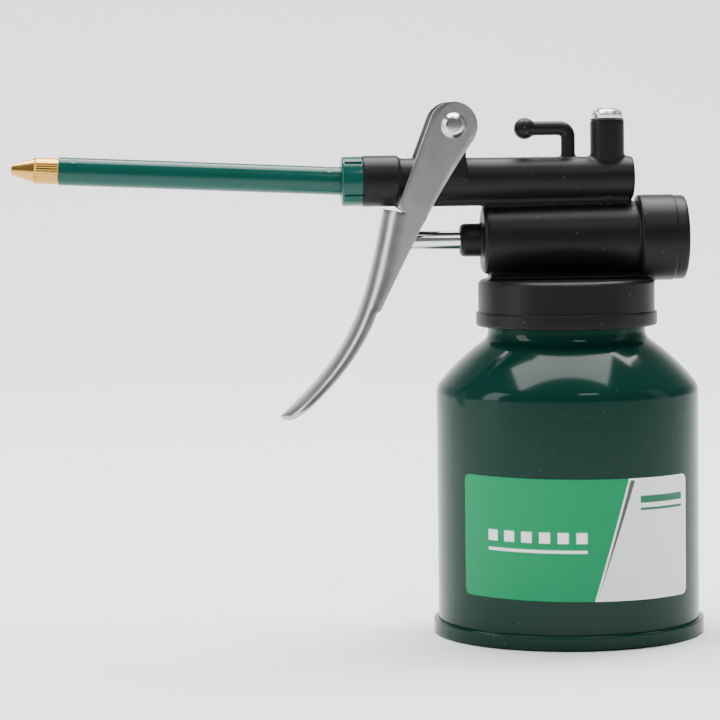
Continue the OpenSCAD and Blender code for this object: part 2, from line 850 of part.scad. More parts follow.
// Brass nozzle: threaded stem, knurled grip and cone
module nozzle_tip() {
    grip_z = spout_len + 0.02;
    bevel = 0.5;
    knurl_r = knurl_d / 2;
    stem_r_out = spout_bore_d / 2 - 0.02;
    color(brass)
        spout_frame()
            difference() {
                rotate_extrude()
                    polygon([
                        [orifice_d / 2, spout_len - nozzle_stem_len],
                        [stem_r_out, spout_len - nozzle_stem_len],
                        [stem_r_out, grip_z], [knurl_r - bevel, grip_z], [knurl_r, grip_z + bevel],
                        [knurl_r, grip_z + knurl_len - bevel], [knurl_r - bevel, grip_z + knurl_len],
                        [nozzle_face_d / 2, grip_z + knurl_len + cone_len],
                        [orifice_d / 2, grip_z + knurl_len + cone_len]
                    ]);
                for (i = [0:flutes - 1])
                    rotate([0, 0, 360 * i / flutes])
                        translate([knurl_r + flute_r / 4, 0, grip_z - cut])
                            cylinder(h = knurl_len + 2 * cut, r = flute_r, $fn = 4);
            }
}

can_shell();
can_base();
front_label();
neck_gasket();
pump_head();
rod_seal();
seal_washer();
plunger_rod();
piston();
piston_seal();
piston_nut();
return_spring();
rear_plug();
rear_plug_seal();
inlet_seat();
inlet_ball();
dip_tube();
outlet_ball();
outlet_spring();
outlet_screw();
outlet_washer();
trigger();
trigger_rivet();
spout_nut();
spout_tube();
spout_seal();
nozzle_tip();
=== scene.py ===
"""Looks of a handy oiler can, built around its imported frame.

Lengths are in metres in the scene. The sizes below are in millimetres where a
name ends in _mm or a class says so, and MM turns them into metres.
"""

import logging
import math
from dataclasses import dataclass
from enum import Enum
from typing import Iterable, Optional, Sequence

import bmesh
import bpy
from mathutils import Matrix, Vector


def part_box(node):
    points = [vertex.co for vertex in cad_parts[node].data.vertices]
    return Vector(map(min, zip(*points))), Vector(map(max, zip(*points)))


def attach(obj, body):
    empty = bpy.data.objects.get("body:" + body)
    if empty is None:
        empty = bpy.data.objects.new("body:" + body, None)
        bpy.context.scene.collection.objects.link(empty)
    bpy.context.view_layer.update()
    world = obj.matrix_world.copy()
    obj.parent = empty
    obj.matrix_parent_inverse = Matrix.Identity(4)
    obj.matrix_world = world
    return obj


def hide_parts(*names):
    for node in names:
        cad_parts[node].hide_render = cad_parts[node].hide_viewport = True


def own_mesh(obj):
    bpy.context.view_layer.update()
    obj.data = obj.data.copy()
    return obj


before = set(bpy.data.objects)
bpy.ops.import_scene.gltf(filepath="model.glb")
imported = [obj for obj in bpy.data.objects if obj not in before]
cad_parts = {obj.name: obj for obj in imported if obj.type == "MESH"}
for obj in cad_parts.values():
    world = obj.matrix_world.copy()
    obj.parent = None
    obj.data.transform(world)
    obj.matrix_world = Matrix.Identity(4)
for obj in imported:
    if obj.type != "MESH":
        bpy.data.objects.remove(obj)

logging.basicConfig(level=logging.INFO, format="%(message)s")
LOG = logging.getLogger("oiler")

MM = 0.001
ROUND_STEPS = 8
LATHE_STEPS = 192

Point = tuple[float, float]
Corner = tuple[float, float, float]
Colour = tuple[float, float, float]


class Axis(Enum):
    """Axis that a turned piece is built round."""

    X = Matrix(((0, 0, 1, 0), (0, 1, 0, 0), (-1, 0, 0, 0), (0, 0, 0, 1)))
    Y = Matrix(((1, 0, 0, 0), (0, 0, 1, 0), (0, -1, 0, 0), (0, 0, 0, 1)))
    Z = Matrix.Identity(4)


class Body(Enum):
    """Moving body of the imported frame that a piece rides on."""

    CAN = "can"
    HEAD = "head"
    TRIGGER = "trigger"
    PLUNGER = "plunger"
    SPOUT = "spout"
    NUT = "nut"


# ---------------------------------------------------------------- outlines


def arc(centre: Point, radius: float, start: float, end: float, steps: int) -> list[Point]:
    """Points of an arc in degrees.

    Args:
        centre: Centre of the arc.
        radius: Radius of the arc.
        start: First angle in degrees.
        end: Last angle in degrees.
        steps: Number of steps between them.

    Returns:
        The points, both ends included.
    """
    angles = [math.radians(start + (end - start) * i / steps) for i in range(steps + 1)]
    return [(centre[0] + radius * math.cos(a), centre[1] + radius * math.sin(a)) for a in angles]


def rounded(corners: Sequence[Corner], closed: bool = False) -> list[Point]:
    """Outline with each corner rounded by its own radius.

    Args:
        corners: First and second coordinate and corner radius of each corner.
        closed: True if the last corner joins the first.

    Returns:
        The points of the rounded outline.
    """
    points: list[Point] = []
    count = len(corners)
    for i, (x, y, radius) in enumerate(corners):
        here = Vector((x, y))
        if radius <= 0 or (not closed and i in (0, count - 1)):
            points.append((x, y))
            continue
        before = Vector(corners[i - 1][:2]) - here
        after = Vector(corners[(i + 1) % count][:2]) - here
        half = before.angle(after) / 2
        reach = min(radius / math.tan(half), before.length * 0.49, after.length * 0.49)
        start = here + before.normalized() * reach
        end = here + after.normalized() * reach
        for step in range(ROUND_STEPS + 1):
            t = step / ROUND_STEPS
            p = start * (1 - t) ** 2 + here * 2 * t * (1 - t) + end * t ** 2
            points.append((p.x, p.y))
    return points


def bezier(handles: Sequence[Point], t: float) -> Vector:
    """Point of a cubic Bezier curve.

    Args:
        handles: Its four handles.
        t: Parameter from 0 to 1.

    Returns:
        The point.
    """
    a, b, c, d = (Vector(p) for p in handles)
    return a * (1 - t) ** 3 + b * 3 * t * (1 - t) ** 2 + c * 3 * t * t * (1 - t) + d * t ** 3


def bezier_normal(handles: Sequence[Point], t: float) -> Vector:
    """Unit normal of a cubic Bezier curve, a quarter turn left of its run.

    Args:
        handles: Its four handles.
        t: Parameter from 0 to 1.

    Returns:
        The normal.
    """
    a, b, c, d = (Vector(p) for p in handles)
    run = (b - a) * (1 - t) ** 2 + (c - b) * 2 * t * (1 - t) + (d - c) * t * t
    return Vector((-run.y, run.x)).normalized()


# ------------------------------------------------------------------ meshes


def linked(name: str, data: bpy.types.ID) -> bpy.types.Object:
    """New object with that name and data, linked to the scene.

    Args:
        name: Name of the object.
        data: Its mesh, light or camera.

    Returns:
        The new object.
    """
    obj = bpy.data.objects.new(name, data)
    bpy.context.scene.collection.objects.link(obj)
    return obj


def finish_mesh(name: str, bm: bmesh.types.BMesh, sharp_deg: float = 32.0) -> bpy.types.Object:
    """Object at the origin from a mesh whose faces are turned outwards.

    Args:
        name: Name of the piece.
        bm: Mesh in metres. It is freed.
        sharp_deg: Edges that bend by more than this stay sharp.

    Returns:
        The new object.
    """
    bmesh.ops.remove_doubles(bm, verts=bm.verts, dist=1e-7)
    bmesh.ops.recalc_face_normals(bm, faces=bm.faces)
    for face in bm.faces:
        face.smooth = True
    for edge in bm.edges:
        edge.smooth = not (edge.is_manifold and edge.calc_face_angle(0.0) > math.radians(sharp_deg))
    mesh = bpy.data.meshes.new(name)
    bm.to_mesh(mesh)
    bm.free()
    return linked(name, mesh)


def add_lathe(
    bm: bmesh.types.BMesh,
    profile: Sequence[Point],
    axis: Axis = Axis.Z,
    centre: Sequence[float] = (0.0, 0.0, 0.0),
    closed: bool = False,
    steps: int = LATHE_STEPS,
    turn: Optional[Matrix] = None,
) -> None:
    """Adds a turned surface to a mesh.

    Args:
        bm: Mesh that the surface is added to.
        profile: Pairs of distance along the axis and radius, in millimetres.
        axis: Axis that it turns round.
        centre: Point on the axis, in metres, from which the distance counts.
        closed: True if the last point joins the first, as in a ring.
        steps: Number of steps round the axis.
        turn: Extra matrix in place of the axis, such as a tilt.
    """
    place = Matrix.Translation(Vector(centre)) @ (turn if turn is not None else axis.value)
    rings = []
    for along, radius in profile:
        if radius < 1e-6:
            rings.append([bm.verts.new(place @ Vector((0, 0, along * MM)))])
            continue
        ring = []
        for i in range(steps):
            a = math.tau * i / steps
            spot = Vector((radius * math.cos(a), radius * math.sin(a), along)) * MM
            ring.append(bm.verts.new(place @ spot))
        rings.append(ring)
    pairs = list(zip(rings, rings[1:])) + ([(rings[-1], rings[0])] if closed else [])
    for low, high in pairs:
        for i in range(steps):
            j = (i + 1) % steps
            corners = [low[i % len(low)], low[j % len(low)], high[j % len(high)], high[i % len(high)]]
            unique = list(dict.fromkeys(corners))
            if len(unique) > 2:
                bm.faces.new(unique)


def lathe(
    name: str,
    profile: Sequence[Point],
    axis: Axis = Axis.Z,
    centre: Sequence[float] = (0.0, 0.0, 0.0),
    closed: bool = False,
    sharp_deg: float = 32.0,
    turn: Optional[Matrix] = None,
) -> bpy.types.Object:
    """Turned piece with one profile.

    Args:
        name: Name of the piece.
        profile: Pairs of distance along the axis and radius, in millimetres.
        axis: Axis that it turns round.
        centre: Point on the axis, in metres, from which the distance counts.
        closed: True for a ring-shaped profile.
        sharp_deg: Edges that bend by more than this stay sharp.
        turn: Extra matrix in place of the axis.

    Returns:
        The new object.
    """
    bm = bmesh.new()
    add_lathe(bm, profile, axis, centre, closed, turn=turn)
    return finish_mesh(name, bm, sharp_deg)


def apply_modifiers(obj: bpy.types.Object) -> bpy.types.Object:
    """Bakes an object's modifiers into its mesh and removes them.

    Args:
        obj: The piece.

    Returns:
        The same object, as a plain mesh.
    """
    bpy.context.view_layer.update()
    evaluated = obj.evaluated_get(bpy.context.evaluated_depsgraph_get())
    mesh = bpy.data.meshes.new_from_object(evaluated)
    mesh.name = obj.name
    obj.modifiers.clear()
    obj.data = mesh
    return obj


def bevel(obj: bpy.types.Object, width_mm: float, segments: int, angle_deg: float) -> bpy.types.Modifier:
    """Adds a bevel of an object's sharp edges.

    Args:
        obj: The piece.
        width_mm: Width of the bevel.
        segments: Number of its segments.
        angle_deg: Edges that bend by more than this are bevelled.

    Returns:
        The modifier.
    """
    edge = obj.modifiers.new("Bevel", "BEVEL")
    edge.width = width_mm * MM
    edge.segments = segments
    edge.limit_method = "ANGLE"
    edge.angle_limit = math.radians(angle_deg)
    return edge


def join(name: str, parts: Sequence[bpy.types.Object]) -> bpy.types.Object:
    """Joins pieces into one mesh object with the first one's material.

    Args:
        name: Name of the joined piece.
        parts: Pieces to join. They are removed.

    Returns:
        The joined object.
    """
    bm = bmesh.new()
    for part in parts:
        bm.from_mesh(part.data)
    mesh = bpy.data.meshes.new(name)
    bm.to_mesh(mesh)
    bm.free()
    for material in parts[0].data.materials:
        mesh.materials.append(material)
    for part in parts:
        bpy.data.objects.remove(part)
    return linked(name, mesh)


def place(
    obj: bpy.types.Object, body: Body, slot: str, stands_for: Iterable[str], material: bpy.types.Material
) -> bpy.types.Object:
    """Dresses a finished piece, seats it on its body and reports it.

    Args:
        obj: The piece, in place.
        body: Body that it rides on.
        slot: Name of the finish's slot; not used.
        stands_for: CAD nodes that it stands for.
        material: Its material.

    Returns:
        The same piece.
    """
    if not obj.data.materials:
        obj.data.materials.append(material)
    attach(obj, body.value)
    nodes = list(stands_for)
    if nodes:
        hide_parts(*nodes)
    LOG.info("piece %s on %s: %d faces", obj.name, body.value, len(obj.data.polygons))
    return obj


# ---------------------------------------------------------- geometry nodes


class NodeTree:
    """Node tree with one way to add a node and feed its sockets."""

    def __init__(self, tree: bpy.types.NodeTree) -> None:
        """Wraps that tree."""
        self.tree = tree

    def node(
        self, kind: str, settings: Optional[dict] = None, sockets: Optional[dict] = None
    ) -> bpy.types.Node:
        """Adds a node.

        Args:
            kind: Type of the node.
            settings: Its settings, which are set first.
            sockets: What feeds its inputs, by name or index.

        Returns:
            The node.
        """
        made = self.tree.nodes.new(kind)
        for key, value in (settings or {}).items():
            setattr(made, key, value)
        for key, value in (sockets or {}).items():
            self.feed(made.inputs[key], value)
        return made

    def feed(self, socket: bpy.types.NodeSocket, value: object) -> None:
        """Links a socket to its source, or sets a constant on it.

        Args:
            socket: Input to feed.
            value: A Value, a socket, a node with the name of its output, or a constant.
        """
        if isinstance(value, tuple) and isinstance(value[0], bpy.types.Node):
            value = value[0].outputs[value[1]]
        elif isinstance(value, Value):
            value = value.socket
        if isinstance(value, bpy.types.NodeSocket):
            self.tree.links.new(value, socket)
        elif isinstance(value, tuple) and len(value) == 3 and socket.type == "RGBA":
            socket.default_value = (*value, 1.0)
        else:
            socket.default_value = value


class GeoTree(NodeTree):
    """Geometry Nodes tree with named inputs, baked into a plain mesh."""

    def __init__(self, name: str) -> None:
        """Makes an empty tree.

        Args:
            name: Name of the tree.
        """
        super().__init__(bpy.data.node_groups.new(name, "GeometryNodeTree"))
        self.tree.interface.new_socket("Geometry", in_out="OUTPUT", socket_type="NodeSocketGeometry")
        self.values: dict[str, float] = {}
        self.start = self.tree.nodes.new("NodeGroupInput")

    def number(self, name: str, value: float, whole: bool = False) -> tuple[bpy.types.Node, str]:
        """Adds a named input and keeps the value that it is baked with.

        Args:
            name: Name of the input.
            value: Its value.
            whole: True for a whole number.

        Returns:
            The input as a link source.
        """
        kind = "NodeSocketInt" if whole else "NodeSocketFloat"
        socket = self.tree.interface.new_socket(name, in_out="INPUT", socket_type=kind)
        socket.default_value = value
        self.values[socket.identifier] = value
        return (self.start, name)

    def bake(
        self, geometry: tuple[bpy.types.Node, str], material: bpy.types.Material, name: str
    ) -> bpy.types.Object:
        """Ends the tree and bakes one piece from it.

        Args:
            geometry: Node of the shape and the name of its output.
            material: Material that the tree sets.
            name: Name of the piece.

        Returns:
            The baked object.
        """
        real = self.node("GeometryNodeRealizeInstances", None, {"Geometry": geometry})
        dressed = self.node(
            "GeometryNodeSetMaterial", None, {"Geometry": (real, "Geometry"), "Material": material}
        )
        end = self.tree.nodes.new("NodeGroupOutput")
        self.tree.links.new(dressed.outputs["Geometry"], end.inputs["Geometry"])
        obj = linked(name, bpy.data.meshes.new(name))
        modifier = obj.modifiers.new("Nodes", "NODES")
        modifier.node_group = self.tree
        for identifier, value in self.values.items():
            modifier[identifier] = value
        return apply_modifiers(obj)


def ridge_ring(
    name: str,
    material: bpy.types.Material,
    count: int,
    radius: float,
    width: float,
    length: float,
    phase: float,
    turn_deg: float,
) -> bpy.types.Object:
    """Straight ridges that stand round a cylinder along +Z, in metres.

    Args:
        name: Name of the piece.
        material: Its material.
        count: Number of ridges.
        radius: Distance of a ridge's centre from the axis.
        width: Width of the square bar that a ridge is cut from.
        length: Length of a ridge.
        phase: Angle of the first ridge in radians.
        turn_deg: Turn of the bar about its own length, 45 for a sharp ridge.

    Returns:
        The baked object, with its lower end at z = 0.
    """
    tree = GeoTree(name + "_tree")
    n = tree.number("Count", count, whole=True)
    r = tree.number("Radius", radius)
    w = tree.number("Width", width)
    long = tree.number("Length", length)
    start = tree.number("Phase", phase)
    circle = tree.node("GeometryNodeMeshCircle", None, {"Vertices": n, "Radius": r})
    size = tree.node("ShaderNodeCombineXYZ", None, {"X": w, "Y": w, "Z": long})
    bar = tree.node("GeometryNodeMeshCube", None, {"Size": (size, "Vector")})
    half = tree.node("ShaderNodeMath", {"operation": "MULTIPLY"}, {0: long, 1: 0.5})
    lift = tree.node("ShaderNodeCombineXYZ", None, {"Z": (half, "Value")})
    turned = tree.node(
        "GeometryNodeTransform", None,
        {
            "Geometry": (bar, "Mesh"),
            "Translation": (lift, "Vector"),
            "Rotation": (0, 0, math.radians(turn_deg)),
        },
    )
    index = tree.node("GeometryNodeInputIndex")
    step = tree.node("ShaderNodeMath", {"operation": "DIVIDE"}, {0: math.tau, 1: n})
    angle = tree.node("ShaderNodeMath", {"operation": "MULTIPLY"}, {0: (index, "Index"), 1: (step, "Value")})
    spin = tree.node("ShaderNodeCombineXYZ", None, {"Z": (angle, "Value")})
    stand = tree.node(
        "GeometryNodeInstanceOnPoints", None,
        {"Points": (circle, "Mesh"), "Instance": (turned, "Geometry"), "Rotation": (spin, "Vector")},
    )
    whole = tree.node("ShaderNodeCombineXYZ", None, {"Z": start})
    placed = tree.node(
        "GeometryNodeTransform", None, {"Geometry": (stand, "Instances"), "Rotation": (whole, "Vector")}
    )
    return tree.bake((placed, "Geometry"), material, name)


def wire_coil(
    name: str, material: bpy.types.Material, turns: float, radius: float, wire: float, height: float
) -> bpy.types.Object:
    """Coil spring along +Z from z = 0, in metres.

    Args:
        name: Name of the piece.
        material: Its material.
        turns: Number of turns.
        radius: Mean radius of the coil.
        wire: Radius of the wire.
        height: Rise of the wire's centre line.

    Returns:
        The baked object.
    """
    tree = GeoTree(name + "_tree")
    t = tree.number("Turns", turns)
    r = tree.number("Radius", radius)
    w = tree.number("Wire", wire)
    h = tree.number("Height", height)
    spiral = tree.node(
        "GeometryNodeCurveSpiral", None,
        {"Resolution": 36, "Rotations": t, "Start Radius": r, "End Radius": r, "Height": h},
    )
    section = tree.node("GeometryNodeCurvePrimitiveCircle", None, {"Resolution": 12, "Radius": w})
    swept = tree.node(
        "GeometryNodeCurveToMesh", None,
        {"Curve": (spiral, "Curve"), "Profile Curve": (section, "Curve"), "Fill Caps": True},
    )
    soft = tree.node("GeometryNodeSetShadeSmooth", None, {"Geometry": (swept, "Mesh")})
    return tree.bake((soft, "Geometry"), material, name)


# --------------------------------------------------------------- materials


class Value:
    """Number socket of a material that takes part in expressions."""

    def __init__(self, paint: "Paint", socket: bpy.types.NodeSocket) -> None:
        """Wraps a socket of that material's tree."""
        self.paint = paint
        self.socket = socket

    def _math(self, operation: str, first: object, second: object) -> "Value":
        """Adds a Math node on two numbers or values and returns its result."""
        node = self.paint.node("ShaderNodeMath", {"operation": operation}, {0: first, 1: second})
        return Value(self.paint, node.outputs[0])

    def __add__(self, other: object) -> "Value":
        """Sum."""
        return self._math("ADD", self, other)

    def __sub__(self, other: object) -> "Value":
        """Difference."""
        return self._math("SUBTRACT", self, other)

    def __rsub__(self, other: object) -> "Value":
        """Difference with this value taken away."""
        return self._math("SUBTRACT", other, self)

    def __mul__(self, other: object) -> "Value":
        """Product."""
        return self._math("MULTIPLY", self, other)

    def band(self, low: float, high: float) -> "Value":
        """Smooth step from 0 at low to 1 at high.

        Args:
            low: Value at which the step begins.
            high: Value at which it ends.

        Returns:
            The step.
        """
        node = self.paint.node(
            "ShaderNodeMapRange",
            {"interpolation_type": "SMOOTHSTEP"},
            {"Value": self, "From Min": low, "From Max": high},
        )
        return Value(self.paint, node.outputs["Result"])


class Paint(NodeTree):
    """Material with one Principled shader and the nodes that feed it."""

    def __init__(self, name: str) -> None:
        """Makes an empty material.

        Args:
            name: Name of the material.
        """
        self.material = bpy.data.materials.new(name)
        self.material.use_nodes = True
        super().__init__(self.material.node_tree)
        self.tree.nodes.clear()
        self.shader = self.tree.nodes.new("ShaderNodeBsdfPrincipled")
        out = self.tree.nodes.new("ShaderNodeOutputMaterial")
        self.tree.links.new(self.shader.outputs["BSDF"], out.inputs["Surface"])

    def where(
        self, stretch: Sequence[float] = (1, 1, 1), turn_deg: Sequence[float] = (0, 0, 0)
    ) -> bpy.types.NodeSocket:
        """Object coordinates in millimetres, stretched and turned.

        Args:
            stretch: Factor along each axis.
            turn_deg: Turn about each axis in degrees.

        Returns:
            The coordinates.
        """
        coords = self.node("ShaderNodeTexCoord")
        scale = tuple(1.0 / MM * s for s in stretch)
        turn = tuple(math.radians(d) for d in turn_deg)
        mapping = self.node(
            "ShaderNodeMapping", None, {"Vector": coords.outputs["Object"], "Scale": scale, "Rotation": turn}
        )
        return mapping.outputs["Vector"]

    def noise(
        self, where: bpy.types.NodeSocket, scale: float, detail: float = 2.0, rough: float = 0.5
    ) -> Value:
        """Noise with that many cells per millimetre.

        Args:
            where: Coordinates in millimetres.
            scale: Cells per millimetre.
            detail: Octaves of finer noise.
            rough: Strength of the finer noise.

        Returns:
            The noise, from 0 to 1.
        """
        made = self.node(
            "ShaderNodeTexNoise",
            None,
            {"Vector": where, "Scale": scale, "Detail": detail, "Roughness": rough},
        )
        return Value(self, made.outputs[0])

    def cells(self, where: bpy.types.NodeSocket, scale: float) -> Value:
        """Distance to the nearest of that many scattered points per millimetre."""
        made = self.node("ShaderNodeTexVoronoi", None, {"Vector": where, "Scale": scale})
        return Value(self, made.outputs["Distance"])

    def mix(self, mask: object, first: object, second: object) -> bpy.types.NodeSocket:
        """Colour between two colours by a mask."""
        made = self.node("ShaderNodeMix", {"data_type": "RGBA"}, {"Factor": mask, 6: first, 7: second})
        return made.outputs[2]

    def bump(self, height: Value, depth_mm: float, strength: float = 1.0) -> bpy.types.NodeSocket:
        """Normal from a height of 0 to 1 that stands for that depth.

        Args:
            height: Height from 0 to 1.
            depth_mm: Depth that the height stands for.
            strength: Share of the effect.

        Returns:
            The normal.
        """
        sockets = {"Height": height, "Distance": depth_mm * MM, "Strength": strength}
        made = self.node("ShaderNodeBump", None, sockets)
        return made.outputs["Normal"]

    def finish(self, **sockets: object) -> bpy.types.Material:
        """Feeds the shader's sockets, named with underscores for spaces.

        Args:
            **sockets: What feeds each of the sockets.

        Returns:
            The material.
        """
        for key, value in sockets.items():
            self.feed(self.shader.inputs[key.replace("_", " ")], value)
        return self.material


@dataclass(frozen=True)
class Enamel:
    """Stoved gloss enamel on sheet steel, with orange peel and fine dust."""

    name: str = "green_enamel"
    deep: Colour = (0.0012, 0.024, 0.0165)
    pale: Colour = (0.002, 0.030, 0.021)
    roughness: float = 0.16
    peel_mm: float = 0.012

    def build(self) -> bpy.types.Material:
        """Builds the material.

        Returns:
            The material.
        """
        paint = Paint(self.name)
        at = paint.where()
        cloud = paint.noise(at, 0.05, 3.0)
        peel = paint.noise(at, 0.55, 1.0)
        ripple = paint.noise(at, 0.13, 1.0)
        dust = 1.0 - paint.cells(at, 0.42).band(0.03, 0.07)
        grime = paint.noise(at, 1.3, 3.0).band(0.62, 0.8)
        colour = paint.mix(cloud, self.deep, self.pale)
        colour = paint.mix(dust * 0.35, colour, (0.25, 0.32, 0.29))
        height = peel * 0.55 + ripple * 0.9 + dust * 0.5
        return paint.finish(
            Base_Color=colour,
            Roughness=grime * 0.06 + dust * 0.25 + self.roughness,
            Specular_IOR_Level=0.03,
            Coat_Weight=0.26,
            Coat_Roughness=0.09,
            Normal=paint.bump(height, self.peel_mm, 0.8),
        )


@dataclass(frozen=True)
class Moulded:
    """Injection-moulded plastic with a fine grain and faint handling marks."""

    name: str
    deep: Colour
    pale: Colour
    roughness: float
    grain_mm: float
    coat: float = 0.0
    dust: float = 0.5
    specular: float = 0.16

    def build(self) -> bpy.types.Material:
        """Builds the material.

        Returns:
            The material.
        """
        paint = Paint(self.name)
        at = paint.where()
        cloud = paint.noise(at, 0.09, 4.0, 0.6)
        grain = paint.noise(at, 4.0, 2.0, 0.6)
        scuff = paint.noise(paint.where((0.25, 1.6, 1.6), (0, 25, 10)), 0.5, 5.0, 0.7).band(0.6, 0.76)
        dust = 1.0 - paint.cells(at, 0.3).band(0.02, 0.055)
        colour = paint.mix(cloud, self.deep, self.pale)
        colour = paint.mix(dust * self.dust, colour, (0.42, 0.42, 0.4))
        height = grain * 0.8 + cloud * 0.6 + dust * 0.7
        return paint.finish(
            Base_Color=colour,
            Roughness=scuff * 0.12 + cloud * 0.1 + (self.roughness - 0.05),
            Specular_IOR_Level=self.specular,
            Coat_Weight=self.coat,
            Coat_Roughness=0.08,
            Normal=paint.bump(height, self.grain_mm, 0.7),
        )


@dataclass(frozen=True)
class Metal:
    """Metal with a brushed or turned grain, mottling and scratches."""

    name: str
    deep: Colour
    pale: Colour
    roughness: float
    grain: Sequence[float] = (1.0, 1.0, 1.0)
    grain_scale: float = 1.5
    grain_mm: float = 0.004
    scratches: float = 0.5

    def build(self) -> bpy.types.Material:
        """Builds the material.

        Returns:
            The material.
        """
        paint = Paint(self.name)
        at = paint.where()
        cloud = paint.noise(at, 0.16, 4.0, 0.62)
        grain = paint.noise(paint.where(self.grain), self.grain_scale, 3.0, 0.6)
        nick_a = paint.noise(paint.where((0.12, 2.4, 2.4), (0, 62, 0)), 0.8, 2.0).band(0.72, 0.76)
        nick_b = paint.noise(paint.where((0.16, 2.0, 2.0), (0, -28, 0)), 0.7, 2.0).band(0.73, 0.77)
        nicks = (nick_a + nick_b) * self.scratches
        colour = paint.mix(cloud * 0.7 + grain * 0.3, self.deep, self.pale)
        colour = paint.mix(nicks, colour, tuple(min(1.0, c * 1.35) for c in self.pale))
        return paint.finish(
            Base_Color=colour,
            Metallic=1.0,
            Roughness=cloud * 0.14 + grain * 0.08 + nicks * 0.12 + (self.roughness - 0.1),
            Normal=paint.bump(grain * 0.8 + cloud * 0.3 - nicks * 0.9, self.grain_mm, 0.8),
        )


@dataclass(frozen=True)
class Soft:
    """Plain soft or clear material of the hidden pieces, with a fine mottle."""

    name: str
    deep: Colour
    pale: Colour
    roughness: float
    alpha: float = 1.0

    def build(self) -> bpy.types.Material:
        """Builds the material.

        Returns:
            The material.
        """
        paint = Paint(self.name)
        at = paint.where()
        cloud = paint.noise(at, 0.6, 4.0, 0.6)
        grain = paint.noise(at, 5.0, 2.0)
        return paint.finish(
            Base_Color=paint.mix(cloud, self.deep, self.pale),
            Roughness=cloud * 0.1 + (self.roughness - 0.05),
            Alpha=self.alpha,
            Normal=paint.bump(grain, 0.01, 0.6),
        )


@dataclass(frozen=True)
class Print:
    """Printed film: a green field, a slanted stripe, a grey field, plain bars."""

    width: float
    height: float
    name: str = "label_print"
    green: Colour = (0.0, 0.255, 0.095)
    grey: Colour = (0.86, 0.87, 0.87)
    dark: Colour = (0.09, 0.1, 0.1)
    white: Colour = (0.95, 0.96, 0.96)
    ink: Colour = (0.03, 0.16, 0.09)
    slant_low: float = 0.55
    slant_high: float = 0.69

    def _box(self, paint: Paint, u: Value, v: Value, low: Point, high: Point) -> Value:
        """Mask of a rectangle of the print, in parts of its width and height.

        Args:
            paint: Material that the mask belongs to.
            u: Place across the print.
            v: Place up the print.
            low: Lower left corner.
            high: Upper right corner.

        Returns:
            The mask.
        """
        soft_u, soft_v = 0.12 / self.width, 0.12 / self.height
        across = u.band(low[0] - soft_u, low[0] + soft_u) * (1.0 - u.band(high[0] - soft_u, high[0] + soft_u))
        upward = v.band(low[1] - soft_v, low[1] + soft_v) * (1.0 - v.band(high[1] - soft_v, high[1] + soft_v))
        return across * upward

    def build(self) -> bpy.types.Material:
        """Builds the material.

        Returns:
            The material.
        """
        paint = Paint(self.name)
        uv = paint.node("ShaderNodeUVMap", {"uv_map": "print"})
        split = paint.node("ShaderNodeSeparateXYZ", None, {0: uv.outputs["UV"]})
        u, v = Value(paint, split.outputs["X"]), Value(paint, split.outputs["Y"])
        soft = 0.15 / self.width
        past = u - (v * (self.slant_high - self.slant_low) + self.slant_low)
        line = 0.6 / self.width
        wedge = past - v * (1.5 / self.width)
        colour = paint.mix(past.band(-soft, soft), self.green, self.white)
        colour = paint.mix(past.band(line - soft, line + soft), colour, self.dark)
        colour = paint.mix(wedge.band(line - soft, line + soft), colour, self.grey)
        inside = self._box(paint, u, v, (-1.0, 0.018), (0.988, 0.985))
        colour = paint.mix(past.band(0.0, soft) * (1.0 - inside), colour, self.white)
        blocks = [((0.125 + 0.071 * i, 0.475), (0.167 + 0.071 * i, 0.565)) for i in range(6)]
        for low, high in (*blocks, ((0.125, 0.395), (0.522, 0.42))):
            colour = paint.mix(self._box(paint, u, v, low, high), colour, self.white)
        for low, high in (((0.74, 0.795), (0.965, 0.855)), ((0.74, 0.735), (0.965, 0.757))):
            colour = paint.mix(self._box(paint, u, v, low, high), colour, self.ink)
        at = paint.where()
        fibre = paint.noise(at, 1.1, 4.0, 0.6)
        wave = paint.noise(at, 0.12, 1.0)
        dust = 1.0 - paint.cells(at, 0.35).band(0.02, 0.05)
        colour = paint.mix(dust * 0.25, colour, (0.6, 0.62, 0.6))
        return paint.finish(
            Base_Color=colour,
            Roughness=fibre * 0.12 + 0.24,
            Specular_IOR_Level=0.1,
            Coat_Weight=0.04,
            Coat_Roughness=0.15,
            Normal=paint.bump(fibre * 0.25 + wave, 0.02, 0.6),
        )


